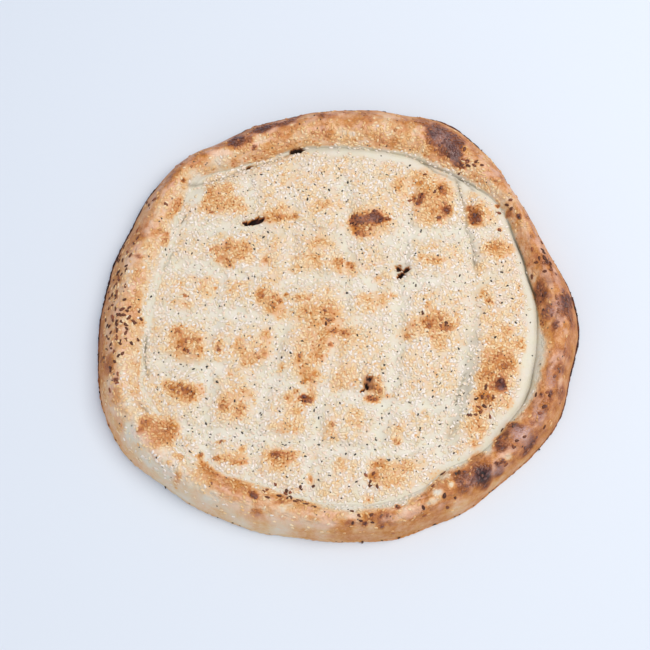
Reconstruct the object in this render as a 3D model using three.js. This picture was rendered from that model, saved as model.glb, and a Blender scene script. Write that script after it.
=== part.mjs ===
import * as THREE from 'three';

// A pide: a round flatbread of leavened wheat dough, baked on an oven floor.
// A raised rim runs round a lower field, which the baker's fingers have pressed
// into uneven pillows. It is one piece of bread, so it is one closed solid.
// Millimetres, +Z up. The origin is the middle of the flat underside.

// Driving dimensions: heights above the underside
const rimHeight = 28.7;
const rimHeightChange = 0.9;
const footHeight = 2;
const fieldHeight = 20.6;
const fieldDoming = 1.2;

// Radii to the foot of the rim and to the crease inside it, anticlockwise from +X,
// at equal angles: a hand-shaped round is nowhere a true circle. The crease itself is shallower on one side
const footRadii = [
  166.5, 157, 152.8, 159, 163, 156.8, 153, 152, 152.4, 157.8, 158, 158.8,
  162.8, 168, 173, 164.8, 160, 155, 154.5, 157, 158.6, 160, 166.2, 166,
];
const creaseRadii = [
  136, 133, 132.5, 135, 129.5, 124, 122, 119, 118.5, 120, 120, 124.5, 133, 129, 121.5, 122.5,
  126, 131, 141, 137.5, 140, 134.5, 128, 129.5, 131.5, 134, 134, 130.5, 136, 138, 140, 137,
];
const creaseHeights = [17.4, 17.4, 17.6, 18.2, 19.2, 19.6, 19.4, 18];
const edgeWobble = 0.8;

// The rim in section: its crest lies this share of the width in from the foot,
// the outer flank is a parabola raised to a power, the inner one a steeper power curve
const crestShare = 0.56;
const crestShift = 0.02;
const outerRoundness = 0.85;
const innerFullness = 2;
const creaseReach = 7;

// Furrows pressed by the fingers, each from one end to the other with a bow and an S-shaped sway
const furrowHalfWidth = 5.8;
const furrowFade = 12;
const furrows = [
  { from: [-112, 61], to: [100, 56], bow: -3, sway: 1.4, depth: 3.6 },
  { from: [-110, 31], to: [108, 23], bow: -5.7, sway: 1.7, depth: 3.4 },
  { from: [-112, -2], to: [40, -7], bow: -3.2, sway: 1.6, depth: 2.6 },
  { from: [-118, -36], to: [98, -63], bow: -5.8, sway: 4.7, depth: 3.6 },
  { from: [-100, -82], to: [78, -87], bow: -9.4, sway: 3.7, depth: 3.8 },
  { from: [-80, 24], to: [-88, -98], bow: -2.6, sway: 0, depth: 3.2 },
  { from: [-62, 92], to: [-50, 34], bow: 1, sway: 0, depth: 2.2 },
  { from: [-32, 72], to: [-56, -102], bow: 5.2, sway: 0.7, depth: 3.2 },
  { from: [6, 84], to: [-18, -116], bow: 7, sway: 4.2, depth: 3 },
  { from: [50, 84], to: [18, -120], bow: 6.4, sway: -2.4, depth: 3.6 },
  { from: [86, 108], to: [62, -116], bow: 18.4, sway: -1.2, depth: 4.2 },
];

// Blisters that rose in the oven, and torn hollows with a negative rise
const swells = [
  { at: [24, 65], reach: 12, rise: 3.2 },
  { at: [62, 83], reach: 17, rise: 1.8 },
  { at: [-76, 80], reach: 17, rise: 1.4 },
  { at: [98, 72], reach: 12, rise: 2 },
  { at: [-100, -22], reach: 18, rise: 1.6 },
  { at: [-5, -8], reach: 18, rise: 2 },
  { at: [64, -10], reach: 20, rise: 1.4 },
  { at: [107, -42], reach: 18, rise: 2 },
  { at: [-118, -80], reach: 13, rise: 2.4 },
  { at: [34, -114], reach: 15, rise: 1.6 },
  { at: [46, 30], reach: 6, rise: -6 },
  { at: [23, -50], reach: 6, rise: -4 },
];

// Fineness of the faceted solid
const segments = 126;
const floorRings = 3;
const rimRings = 10;
const fieldRings = 19;

// Profile of a plain disc, which every vertex then leaves for its real place:
// x is the share of the way out, and y tells the underside from the crust
const underside = -1;
const crust = 1;
const creaseShare = 0.7;

const fullTurn = 2 * Math.PI;

// A smooth closed curve through the listed values, read at any angle
function valueAt(values, angle) {
  const place = ((angle / fullTurn + 1) % 1) * values.length;
  const index = Math.floor(place);
  const t = place - index;
  const [before, start, end, after] = [-1, 0, 1, 2].map(
    (step) => values[(index + step + values.length) % values.length],
  );
  const slopeIn = (end - before) / 2;
  const slopeOut = (after - start) / 2;
  const bend = 3 * (end - start) - 2 * slopeIn - slopeOut;
  const twist = 2 * (start - end) + slopeIn + slopeOut;
  return start + t * (slopeIn + t * (bend + t * twist));
}

function footRadius(angle) {
  return valueAt(footRadii, angle) + edgeWobble * (Math.sin(13 * angle + 1) + Math.sin(21 * angle + 4)) / 2;
}

// The crest of the rim goes a little up and down round the bread
function crestHeight(angle) {
  return rimHeight + rimHeightChange * (0.6 * Math.sin(3 * angle + 1) + 0.4 * Math.sin(8 * angle));
}

// How deep one furrow is at a point: a bell across its curved line, fading out at its ends
function furrowDepth(furrow, x, y) {
  const [startX, startY] = furrow.from;
  const alongX = furrow.to[0] - startX;
  const alongY = furrow.to[1] - startY;
  const length = Math.hypot(alongX, alongY);
  const share = ((x - startX) * alongX + (y - startY) * alongY) / length ** 2;
  const aside = ((y - startY) * alongX - (x - startX) * alongY) / length;
  const bend = furrow.bow * Math.sin(Math.PI * share) + furrow.sway * Math.sin(fullTurn * share);
  const pastEnd = Math.max(-share, share - 1, 0) * length;
  const across = (aside - bend) / furrowHalfWidth;
  return furrow.depth * Math.exp(-(across ** 2) - (pastEnd / furrowFade) ** 2);
}

// The crossings of two furrows are as deep as the deeper one
function fieldSurface(x, y, insideCrease) {
  const dome = fieldDoming * (1 - (Math.hypot(x, y) / creaseRadii[0]) ** 2);
  const pressed = Math.max(...furrows.map((furrow) => furrowDepth(furrow, x, y)));
  let swollen = 0;
  for (const { at, reach, rise } of swells) {
    swollen += rise * Math.exp(-((x - at[0]) ** 2 + (y - at[1]) ** 2) / reach ** 2);
  }
  const open = 1 - Math.exp(-((insideCrease / creaseReach) ** 2));
  const low = valueAt(creaseHeights, Math.atan2(y, x));
  return low + open * (fieldHeight - low + dome + swollen - pressed);
}

// Radius and height on the rim, from the crease (share 0) over the crest to the foot (share 1)
function rimSurface(share, angle) {
  const foot = footRadius(angle);
  const crease = valueAt(creaseRadii, angle);
  const crest = foot - (crestShare + crestShift * Math.sin(5 * angle)) * (foot - crease);
  const top = crestHeight(angle);
  const fromCrest = Math.abs(Math.cos(Math.PI * share));
  if (share < 0.5) {
    return {
      radius: crest - fromCrest * (crest - crease),
      height: top - (top - valueAt(creaseHeights, angle)) * fromCrest ** innerFullness,
    };
  }
  return {
    radius: crest + fromCrest * (foot - crest),
    height: footHeight + (top - footHeight) * (1 - fromCrest ** 2) ** outerRoundness,
  };
}

function profile() {
  const points = [];
  for (let i = 0; i <= floorRings; i++) {
    points.push(new THREE.Vector2(i / floorRings, underside));
  }
  for (let i = rimRings; i >= 0; i--) {
    points.push(new THREE.Vector2(creaseShare + (1 - creaseShare) * (i / rimRings), crust));
  }
  for (let i = fieldRings - 1; i >= 0; i--) {
    points.push(new THREE.Vector2(creaseShare * (i / fieldRings), crust));
  }
  return points;
}

// Where a vertex of the plain disc belongs on the bread
function shaped(share, side, angle) {
  if (side === underside) {
    return { radius: share * footRadius(angle), height: 0 };
  }
  if (share > creaseShare) {
    return rimSurface((share - creaseShare) / (1 - creaseShare), angle);
  }
  const crease = valueAt(creaseRadii, angle);
  const radius = crease * (share / creaseShare);
  const height = fieldSurface(radius * Math.cos(angle), radius * Math.sin(angle), crease - radius);
  return { radius, height };
}

function breadGeometry() {
  const geometry = new THREE.LatheGeometry(profile(), segments);
  geometry.rotateX(Math.PI / 2);
  const position = geometry.getAttribute('position');
  for (let i = 0; i < position.count; i++) {
    const x = position.getX(i);
    const y = position.getY(i);
    const angle = Math.atan2(y, x);
    const { radius, height } = shaped(Math.hypot(x, y), Math.sign(position.getZ(i)), angle);
    position.setXYZ(i, radius * Math.cos(angle), radius * Math.sin(angle), height);
  }
  geometry.computeBoundingBox();
  const middle = geometry.boundingBox.getCenter(new THREE.Vector3());
  geometry.translate(-middle.x, -middle.y, 0);
  geometry.computeVertexNormals();
  return geometry;
}

// Baked wheat crust, washed before baking so that the rim has a soft gloss
const bakedCrust = new THREE.MeshStandardMaterial({ color: 0xd9a76a, roughness: 0.6, metalness: 0 });

const pide = new THREE.Mesh(breadGeometry(), bakedCrust);
pide.name = 'pide';

const bread = new THREE.Group();
bread.add(pide);

export default bread;
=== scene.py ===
import bpy
import numpy as np
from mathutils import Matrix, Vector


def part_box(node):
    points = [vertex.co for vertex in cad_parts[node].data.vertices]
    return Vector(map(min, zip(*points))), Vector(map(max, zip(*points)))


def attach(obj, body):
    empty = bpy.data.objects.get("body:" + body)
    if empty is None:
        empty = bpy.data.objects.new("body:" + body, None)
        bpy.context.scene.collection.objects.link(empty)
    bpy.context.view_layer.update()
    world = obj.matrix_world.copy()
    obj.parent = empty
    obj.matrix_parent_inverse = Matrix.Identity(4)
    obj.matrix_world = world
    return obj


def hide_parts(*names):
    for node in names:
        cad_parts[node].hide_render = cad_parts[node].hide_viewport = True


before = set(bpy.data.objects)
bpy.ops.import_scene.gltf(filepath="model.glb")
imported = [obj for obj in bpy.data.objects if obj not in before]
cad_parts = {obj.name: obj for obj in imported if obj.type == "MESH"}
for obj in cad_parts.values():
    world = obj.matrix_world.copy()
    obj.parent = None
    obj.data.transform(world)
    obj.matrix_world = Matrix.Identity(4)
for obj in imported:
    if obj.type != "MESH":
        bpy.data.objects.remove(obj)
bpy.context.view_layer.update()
boxLow, boxHigh = (np.array(corner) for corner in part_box("pide"))
print("frame loaded")

# Lengths below are in millimetres, from the middle of the bread, and go to metres at the end

# The round of dough. Lists run anticlockwise from +X at equal angles
bread = {
    "footRadii": [
        166.5, 157, 152.8, 159, 163, 156.8, 153, 152, 152.4, 157.8, 158, 158.8, 162.8, 168, 173, 164.8, 160,
        155, 154.5, 157, 158.6, 160, 166.2, 166,
    ],
    "skirtWidths": [
        1.2, 0.7, 0.9, 1.0, 1.4, 1.0, 1.2, 1.6, 1.2, 0.9, 1.0, 1.4, 0.9, 0.9, 0.6, 0.5, 0.5, 0.5, 0.6, 0.6,
        0.5, 0.5, 0.5, 0.8,
    ],
    "creaseRadii": [
        136, 133, 132.5, 135, 129.5, 124, 122, 119, 118.5, 120, 120, 124.5, 133, 129, 121.5, 122.5, 126,
        131, 141, 137.5, 140, 134.5, 128, 129.5, 131.5, 134, 134, 130.5, 136, 138, 140, 137,
    ],
    "crestHeights": [28.0, 27.6, 28.0, 28.2, 28.0, 27.6, 28.4, 28.2],
    "crestShares": [0.54, 0.54, 0.56, 0.56, 0.54, 0.56, 0.60, 0.58],
    "flankPowers": [2.0, 1.8, 2.4, 1.8, 1.6, 1.5, 1.4, 2.2],
    "creaseHeights": [
        17.5, 18.2, 19.2, 18.0, 17.7, 17.9, 18.4, 19.0, 19.4, 19.6, 19.8, 19.7, 19.6, 19.0, 18.2, 17.6,
    ],
    "creaseCuts": [
        1.8, 2.0, 1.8, 0.3, 1.1, 1.2, 0.9, 0.8, 0.7, 0.6, 0.4, 0.4, 0.3, 0.3, 0.2, 0.2, 0.3, 0.2, 0.1, 0.1,
        0.0, 0.0, 0.0, 0.1, 0.1, 0.1, 0.2, 0.2, 0.3, 0.4, 1.5, 0.6,
    ],
    "bandWidths": [9, 4, 7, 9, 6.5, 0.2, 0.4, 1, 1, 0.5, 0.5, 1, 1.5, 3, 6, 9],
    "creaseShades": [0.35, 0.3, 0.12, 0.2, 0.5, 0.4, 0.2, 0, 0, 0, 0, 0, 0, 0.1, 0.35, 0.5],
    "footTop": 1.4,
    "fieldHeight": 20.6,
    "fieldDoming": 1.2,
    "domeRadius": 135,
    "outerRoundness": 0.85,
    "edgeWobble": 0.8,
    "meanRadius": 150,
    "lowestCrust": 1.0,
}

# How the field opens from the crease: how far smoothly, and in two steps where the smooth band is broad.
# The cut of the crease itself is wider on the field's side
opening = {
    "reach": 7.0,
    "broadBand": 8,
    "firstShare": 0.42,
    "firstReach": 2.2,
    "secondEdge": (5.5, 10.5),
    "cutInside": 1.2,
    "cutOutside": 0.6,
}

# Furrows that the fingers pressed: from, to, bow, S-shaped sway, depth. Press is how much of that depth
# is reached
furrows = {
    "halfWidth": 5.8,
    "fade": 12.0,
    "press": 0.8,
    "lines": [
        ((-112, 61), (100, 56), -3.0, 1.4, 3.2),
        ((-110, 31), (108, 23), -5.7, 1.7, 3.0),
        ((-112, -2), (40, -7), -3.2, 1.6, 2.0),
        ((-118, -36), (98, -63), -5.8, 4.7, 3.2),
        ((-100, -82), (78, -87), -9.4, 3.7, 3.4),
        ((-80, 24), (-88, -98), -2.6, 0.0, 2.8),
        ((-62, 92), (-50, 34), 1.0, 0.0, 1.8),
        ((-32, 72), (-56, -102), 5.2, 0.7, 2.8),
        ((6, 84), (-18, -116), 7.0, 4.2, 2.6),
        ((50, 84), (18, -120), 6.4, -2.4, 3.2),
        ((86, 108), (62, -116), 18.4, -1.2, 3.8),
    ],
}

# Fine cracks where the skin folded: from, to, bow, depth
cracks = {
    "halfWidth": 0.8,
    "fade": 3,
    "lines": [
        ((83, 93), (90, 58), 1.5, 2.0), ((90, 58), (95, 33), 0.5, 1.7), ((84, 95), (94, 88), 1.0, 1.6),
        ((-129, -20), (-127, -44), -1.0, 1.8), ((-100, 90), (-64, 102), -1.5, 1.6),
        ((86, -44), (80, -62), 0.0, 2.2), ((-62, 103), (-34, 113), -1.0, 1.8),
        ((60, 107), (84, 93), -1.0, 1.6), ((-117, 32), (-113, 39), 0.0, 1.2),
        ((-108, 62), (-104, 67), 0.0, 2.0), ((48, 31), (49, 42), 0.0, 1.0),
        ((-130, -66), (-126, -70), 0.0, 1.6),
    ],
}

# Grey shade along folds: from, to, bow, half width, strength
greyFolds = {
    "fade": 4,
    "lines": [
        ((92, -18), (76, -86), 3.0, 4.6, 0.30), ((-64, 100), (-96, 86), 1.0, 2.4, 0.14),
        ((50, 36), (46, 24), 0, 2.6, 0.16), ((16, -42), (18, -50), 0, 2.6, 0.30),
        ((30, -34), (31, -46), 0, 2.2, 0.14),
    ],
}

# Blisters that rose in the oven: x, y, reach, rise
swells = [
    (24, 65, 12, 3.0), (62, 83, 17, 1.6), (-76, 80, 17, 1.3), (98, 72, 11, 1.8), (-100, -22, 18, 1.5),
    (-5, -8, 18, 1.8), (64, -10, 20, 1.3), (107, -42, 17, 1.8), (-118, -80, 13, 2.0), (34, -114, 15, 1.5),
    (-73, 43, 13, 1.3), (27, -56, 8, 1.8), (-104, -54, 13, 1.2), (-69, -66, 14, 1.2), (60, 33, 14, 1.2),
    (-38, 71, 12, 1.0), (-40, 8, 11, 1.1), (108, -48, 5, 1.4), (122, 74, 3, 0.8), (127, 70, 3, 0.8),
]

# Every spot below is x, y, half widths, a level, and a turn in degrees where it has one

# Tears in the crust, the level being the depth. The edge is where in its ellipse a tear starts to drop
# and has dropped; the mesh is gathered towards the deep ones
tears = {
    "edge": (0.15, 0.75),
    "deepFrom": 5,
    "gather": 0.32,
    "gatherReach": 8,
    "places": [
        (-27.5, 115.8, 5.2, 1.8, 6.0, 11), (-60.6, 103.8, 2.6, 1.2, 6.0, 22),
        (-60.5, 62.4, 4.6, 1.5, 6.0, 8), (-55.0, 63.6, 5.0, 2.3, 4.2, 10), (-51, 64.8, 1.8, 1.3, 5.0, 30),
        (45.3, 29.0, 6.0, 5.0, 0.8, 20), (47.6, 29.0, 2.9, 1.8, 6.0, 44), (43.8, 25.0, 2.9, 1.8, 7.0, 40),
        (42.4, 30.0, 2.3, 2.1, 5.0, -30), (21, -51, 4.0, 6.0, 1.6, 20), (20, -52.5, 2.6, 1.0, 6.0, -80),
        (17.5, -56, 2.0, 1.0, 5.0, 20), (21.5, -47.5, 2.6, 1.5, 3.5, 20),
    ],
}

# Browning of the rim at equal angles, 0 raw to 1 burnt: at the foot of its wall, on its shoulder, on its
# crest and down its inner flank. The fringe is how many mm of the flank above the crease stay pale
rimBakes = {
    "wall": [
        0.52, 0.50, 0.50, 0.50, 0.50, 0.50, 0.58, 0.66, 0.64, 0.48, 0.50, 0.50, 0.52, 0.46, 0.38, 0.22,
        0.27, 0.26, 0.44, 0.50, 0.42, 0.42, 0.54, 0.50,
    ],
    "shoulder": [
        0.58, 0.54, 0.52, 0.48, 0.52, 0.50, 0.52, 0.60, 0.57, 0.54, 0.52, 0.45, 0.38, 0.42, 0.18, 0.11,
        0.27, 0.36, 0.45, 0.44, 0.48, 0.50, 0.61, 0.56,
    ],
    "crest": [
        0.57, 0.47, 0.40, 0.27, 0.42, 0.36, 0.38, 0.48, 0.34, 0.28, 0.42, 0.38, 0.34, 0.30, 0.22, 0.20,
        0.44, 0.40, 0.33, 0.36, 0.45, 0.53, 0.61, 0.58,
    ],
    "flank": [
        0.54, 0.37, 0.36, 0.31, 0.38, 0.37, 0.35, 0.40, 0.36, 0.27, 0.26, 0.19, 0.22, 0.30, 0.26, 0.12,
        0.37, 0.28, 0.14, 0.18, 0.38, 0.20, 0.48, 0.37,
    ],
    "fringe": [
        0.5, 0.5, 0.5, 1.5, 4, 1.5, 1.5, 0.6, 0.5, 0.8, 2.5, 6, 4, 2, 2, 2, 2, 2, 3, 6, 1.5, 5, 4, 7,
    ],
}

# Browned patches of the field, the level being the browning
patches = [
    (-35, 42, 44, 30, 0.20), (98, 15, 18, 42, 0.21), (-5, -22, 42, 30, 0.20), (-86, 80, 10, 12, 0.36),
    (-75, 87, 5, 5, 0.34), (-75, 75, 6, 5, 0.40), (-68, 79, 4, 3, 0.38), (-66, 72, 9, 4, 0.32),
    (-37, 68, 11, 8, 0.34), (-46, 66, 4, 3, 0.38), (-36, 91, 2.5, 2, 0.34), (-8, 100, 10, 6, 0.20),
    (-11, 75, 9, 5, 0.30), (-83, 43, 3.5, 3, 0.44), (-72, 46, 6, 4, 0.38), (-62, 44, 3.5, 4.5, 0.38),
    (-80, 36, 5, 4, 0.38), (-74, 33.5, 5, 3, 0.46), (-66, 38, 6, 4, 0.36), (-74, 41, 12, 8, 0.30),
    (-48, 36, 3, 2.5, 0.42), (-30, 37, 3.5, 3.5, 0.30), (-29, 29, 3, 2, 0.36), (-42, 25, 7, 5, 0.30),
    (-12, 51, 8, 8, 0.32), (-10, 51, 4, 3, 0.38), (-14, 34, 6, 5, 0.34), (-27, 55, 4, 7, 0.24),
    (-85, 21, 7, 4, 0.36), (-98, 22, 5, 3, 0.28), (-106, 18, 5, 4, 0.26), (-88, 12, 9, 7, 0.26),
    (-104, 4, 10, 5, 0.26), (-70, 12, 6, 6, 0.26), (-66, 19, 7, 2.5, 0.32, 8), (-51, 10, 4, 6, 0.42),
    (-41, 5, 10, 8, 0.36), (-40, 2, 5, 6, 0.46), (-24, 9, 6, 2.5, 0.34), (60, 84, 22, 17, 0.30),
    (45, 91, 7, 6, 0.34), (57, 97, 6, 4, 0.34), (57, 79, 6, 6.5, 0.46), (64, 66, 10, 8, 0.30),
    (72, 78, 7, 12, 0.34), (95, 68, 6.5, 9, 0.44), (93, 82, 5, 4, 0.34), (104, 67, 6, 7, 0.26),
    (110, 44, 9, 6.5, 0.36), (107, 46, 4, 4, 0.40), (118, 43, 4, 3, 0.32), (63, 36, 11, 5, 0.28),
    (68, 35, 4, 3, 0.34), (97, 30, 2.5, 3.5, 0.34), (99, 11, 3, 3, 0.38), (24, 64, 17, 11, 0.34),
    (20, 56, 12, 5, 0.44, -14), (34, 58, 6, 4, 0.38), (5, 31, 9, 7, 0.32), (10, 25, 3, 3, 0.32),
    (30, 24, 5.5, 3, 0.46), (30, 9, 13, 6, 0.26), (38, 10, 4.5, 2, 0.38), (20, 8, 4, 4, 0.30),
    (22, 2, 6, 5, 0.26), (62, 3, 4, 3, 0.34), (60, 11, 14, 6, 0.20), (124, 14, 3, 5, 0.26),
    (-100, -22, 19, 14, 0.28), (-107, -15, 3.5, 4, 0.44, -50), (-104, -24, 6, 8, 0.38),
    (-95, -21, 5, 3, 0.38), (-93, -31, 5, 5, 0.36), (-103, -33, 5, 3, 0.36), (-79, -25, 4, 8, 0.36),
    (-60, -28, 17, 13, 0.24), (-65, -25, 4, 4, 0.34), (-57, -34, 4.5, 4.5, 0.34), (-49, -30, 3.5, 4, 0.38),
    (-73, -43, 3.5, 4, 0.38), (-62, -44, 8, 5, 0.26), (-46, -18, 4, 6, 0.34), (-38, -40, 2.5, 4, 0.36),
    (-20, -2, 9, 7, 0.34), (-8, -9, 14, 15, 0.34), (-3, -5, 6, 7, 0.44), (-25, -34, 3.5, 3.5, 0.42),
    (-13, -31, 4, 4, 0.38), (-20, -40, 9, 14, 0.28), (-18, -46, 6, 5, 0.40), (-17, -56, 3, 5, 0.42),
    (-30, -62, 9, 7, 0.26), (-33, -60, 3, 3, 0.38), (-27, -70, 4, 3, 0.38), (-70, -68, 14, 12, 0.28),
    (-75, -66, 4, 4, 0.44), (-65, -70, 4, 4, 0.38), (-62, -57, 9, 4, 0.28), (-103, -58, 14, 8, 0.32, -10),
    (-107, -54, 8, 4, 0.46, -18), (-98, -57, 4, 4, 0.50, -40), (-91, -56, 4, 5, 0.38),
    (-33, -81, 16, 8, 0.28), (-6, -81, 5, 4, 0.34), (-5, -88, 8, 6, 0.30), (-77, -90.5, 5, 2, 0.42, 8),
    (-62, -94, 3.5, 3.5, 0.38), (-68, -102, 13, 5, 0.30), (-63, -104, 5, 2, 0.42),
    (-79, -101.5, 2.5, 2, 0.46), (-90, -100, 2, 3.5, 0.44), (-40, -101, 14, 8, 0.30),
    (-36, -99, 10, 4, 0.44), (-38, -105, 5, 5, 0.38), (-17, -115, 3.5, 4, 0.44), (-15, -98, 5, 5, 0.28),
    (3, -16, 6, 5, 0.46), (0, -2, 5, 6, 0.32), (5, 76, 6, 5, 0.28), (32, 20, 7, 5, 0.30),
    (61, -11, 22, 11, 0.23), (47, -17, 6, 6, 0.34), (62, -10, 5, 4.5, 0.42), (67, -4, 6, 4, 0.38),
    (75, -12, 5, 4, 0.42), (68, -20, 7, 6, 0.28), (80, -5, 5, 8, 0.24), (72, -27, 5, 3, 0.28),
    (115, -15, 3.5, 4, 0.38), (122, -24, 4.5, 4.5, 0.42), (108, -40, 13, 26, 0.32, -12),
    (105, -34, 9, 7, 0.38), (115, -38, 5, 6, 0.44), (100, -47, 6, 6, 0.42), (98, -62, 9, 9, 0.46),
    (112, -62, 4.5, 6, 0.34), (88, -82, 9, 11, 0.26), (95, -79, 5, 6, 0.36), (90, -92, 3, 3, 0.34),
    (75, -83, 4, 6, 0.26), (25, -57, 7, 7, 0.44), (27, -48, 3, 2.5, 0.38), (35, -59, 4.5, 2, 0.42),
    (5, -43, 7, 5, 0.28), (10, -51, 6, 5, 0.26), (-1, -51, 5, 6, 0.26), (13, -75, 7, 9, 0.28),
    (50, -71, 3, 3, 0.34), (58, -69, 2.5, 3, 0.38), (40, -90, 3, 3.5, 0.46), (40, -82, 6, 6, 0.26),
    (27, -106, 6, 5, 0.44), (33, -107, 7, 4, 0.38), (47, -107, 12, 4, 0.28), (34, -114, 14, 10, 0.28),
    (24, -113, 5, 5, 0.38), (20, -128, 5, 4, 0.30), (2, -106, 5, 6, 0.30), (66, -115, 7, 8, 0.34),
    (72, -124, 9, 7, 0.38), (60, -129, 9, 5, 0.46), (30, -37, 10, 7, 0.14), (60, -41, 18, 10, 0.18),
]

# Hot spots inside those patches
hotSpots = [
    (-86, 69.5, 2.2, 1.2, 0.74), (-90, 73, 4, 2, 0.44), (-40, 66, 3.5, 2.5, 0.52),
    (-28, 67, 2.5, 2.5, 0.52), (-35, 66, 6, 2, 0.46), (-75, 43.5, 2, 1.5, 0.56), (-69, 44, 2, 1.3, 0.52),
    (-48, 36, 1.5, 1.2, 0.56), (-103, 10.5, 2.2, 1.1, 0.66), (-83, 16, 1.6, 1.2, 0.52),
    (-52, 11.5, 2.5, 2.5, 0.52), (-42, 10, 1.8, 1.4, 0.64), (-34, 11, 1.6, 1.4, 0.60),
    (-38, 6, 1.8, 1.6, 0.56), (-26, 9, 1.5, 1.0, 0.50), (1, 34, 4, 3.5, 0.50), (8, 33, 1.8, 1.4, 0.66),
    (11, 31, 2, 2.4, 0.50), (12.5, 64, 4, 5, 0.70), (22, 63.8, 12, 3.8, 0.70, 2), (26, 68.5, 4, 1.6, 0.64),
    (27.5, 65, 5.5, 3.2, 0.80, -10), (17.5, 57.5, 1.6, 1.4, 0.64), (20, 53.5, 4, 1.2, 0.54),
    (15, 57, 6, 4, 0.54, -30), (23, 57.2, 1.8, 1.3, 0.74), (36, 64.8, 2.0, 1.5, 0.74, 10),
    (57, 91, 3.5, 2, 0.50), (42, 86, 2, 2, 0.46), (54, 79.5, 1.8, 4, 0.62, 15),
    (58.5, 80, 1.8, 4.5, 0.68, -10), (56.5, 76.5, 2.5, 2.5, 0.70), (73, 86, 4.5, 4.8, 0.58),
    (71.5, 87, 2.2, 1.8, 0.74), (75.5, 71, 4.6, 5, 0.60), (75.5, 71.5, 3, 2.4, 0.74, -40),
    (70, 66, 1.6, 1.6, 0.72), (66, 71, 2.4, 2, 0.46), (95, 67, 5, 7, 0.58, 20), (96, 65, 3.6, 3.6, 0.72),
    (92, 73, 2.4, 3.5, 0.60, 20), (111, 75, 1.8, 1.5, 0.66), (112, 57.5, 1.6, 1.6, 0.70),
    (68, 35, 1.8, 1.6, 0.44), (103, 6, 2.6, 2.4, 0.58), (99, 11, 1.6, 2, 0.46), (38, 10.5, 3, 1, 0.46),
    (-107, -15, 1.2, 3.4, 0.54, 45), (-105, -24, 3, 3, 0.54), (-102, -28.5, 1.8, 1.3, 0.72),
    (-94, -21, 3, 2, 0.54), (-79, -29, 1.6, 1.6, 0.52), (-8, -1, 1.8, 1.8, 0.54), (-5, -8, 2, 1.8, 0.60),
    (-2, -15, 3, 2, 0.56), (-3.5, -24, 1.8, 1.8, 0.62), (-20, -48, 5, 1.8, 0.50, 20),
    (-20.5, -62, 4.6, 4, 0.70), (-22, -60, 2.4, 1.6, 0.80), (-27, -56, 2, 1.6, 0.52),
    (-75, -66, 2.2, 2, 0.52), (-111, -54, 4, 2, 0.54, -30), (-99, -56.5, 2.6, 1.5, 0.66, -10),
    (-97, -60, 2.2, 1.6, 0.56, -50), (-77, -91, 1.6, 1.0, 0.68), (-79, -101.5, 1.6, 1.2, 0.58),
    (-90, -99.5, 1.2, 2, 0.58), (-40, -98.7, 4, 2.2, 0.68), (-34, -99.5, 4, 1.8, 0.54),
    (-63, -104, 3, 1.2, 0.50, 12), (-17, -115, 1.5, 2, 0.54), (5, -16, 3, 2.5, 0.54),
    (48, -18, 3, 2.5, 0.46), (62, -10.5, 3, 2.8, 0.64), (69.5, -7, 2.2, 1.5, 0.58, 20),
    (75, -13, 2.8, 2.2, 0.54, 20), (115, -39, 2.4, 2, 0.52), (109.5, -52, 5, 5, 0.84),
    (99, -61, 5, 3.5, 0.50), (94, -69, 3.5, 3.5, 0.48), (101, -53, 2, 4, 0.50, -20),
    (24, -61.5, 5.5, 2.4, 0.68, -8), (22, -49, 2, 2, 0.60), (34, -58.5, 1.6, 1.2, 0.50),
    (40, -90, 1.8, 2, 0.50), (26, -106, 3, 2, 0.50), (24, -113, 3, 2.5, 0.52), (58, -129, 4, 3, 0.54),
    (83, -114, 5, 5, 0.56),
]

# Paler places almost bare of seeds, most of them tops of small blisters
paleSpots = [
    (66, -125.8, 3.6, 2.6, 0.10, 10), (74, -120.4, 2.4, 2.2, 0.16), (63, -131, 5, 2, 0.24, 15),
    (112, -101, 3, 2, 0.25, 40), (-97, 83, 7.5, 6, 0.0, 49), (70, -114, 4, 3, 0.20, 20),
    (-96, 92, 6, 3.5, 0.03, 46),
]

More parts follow.
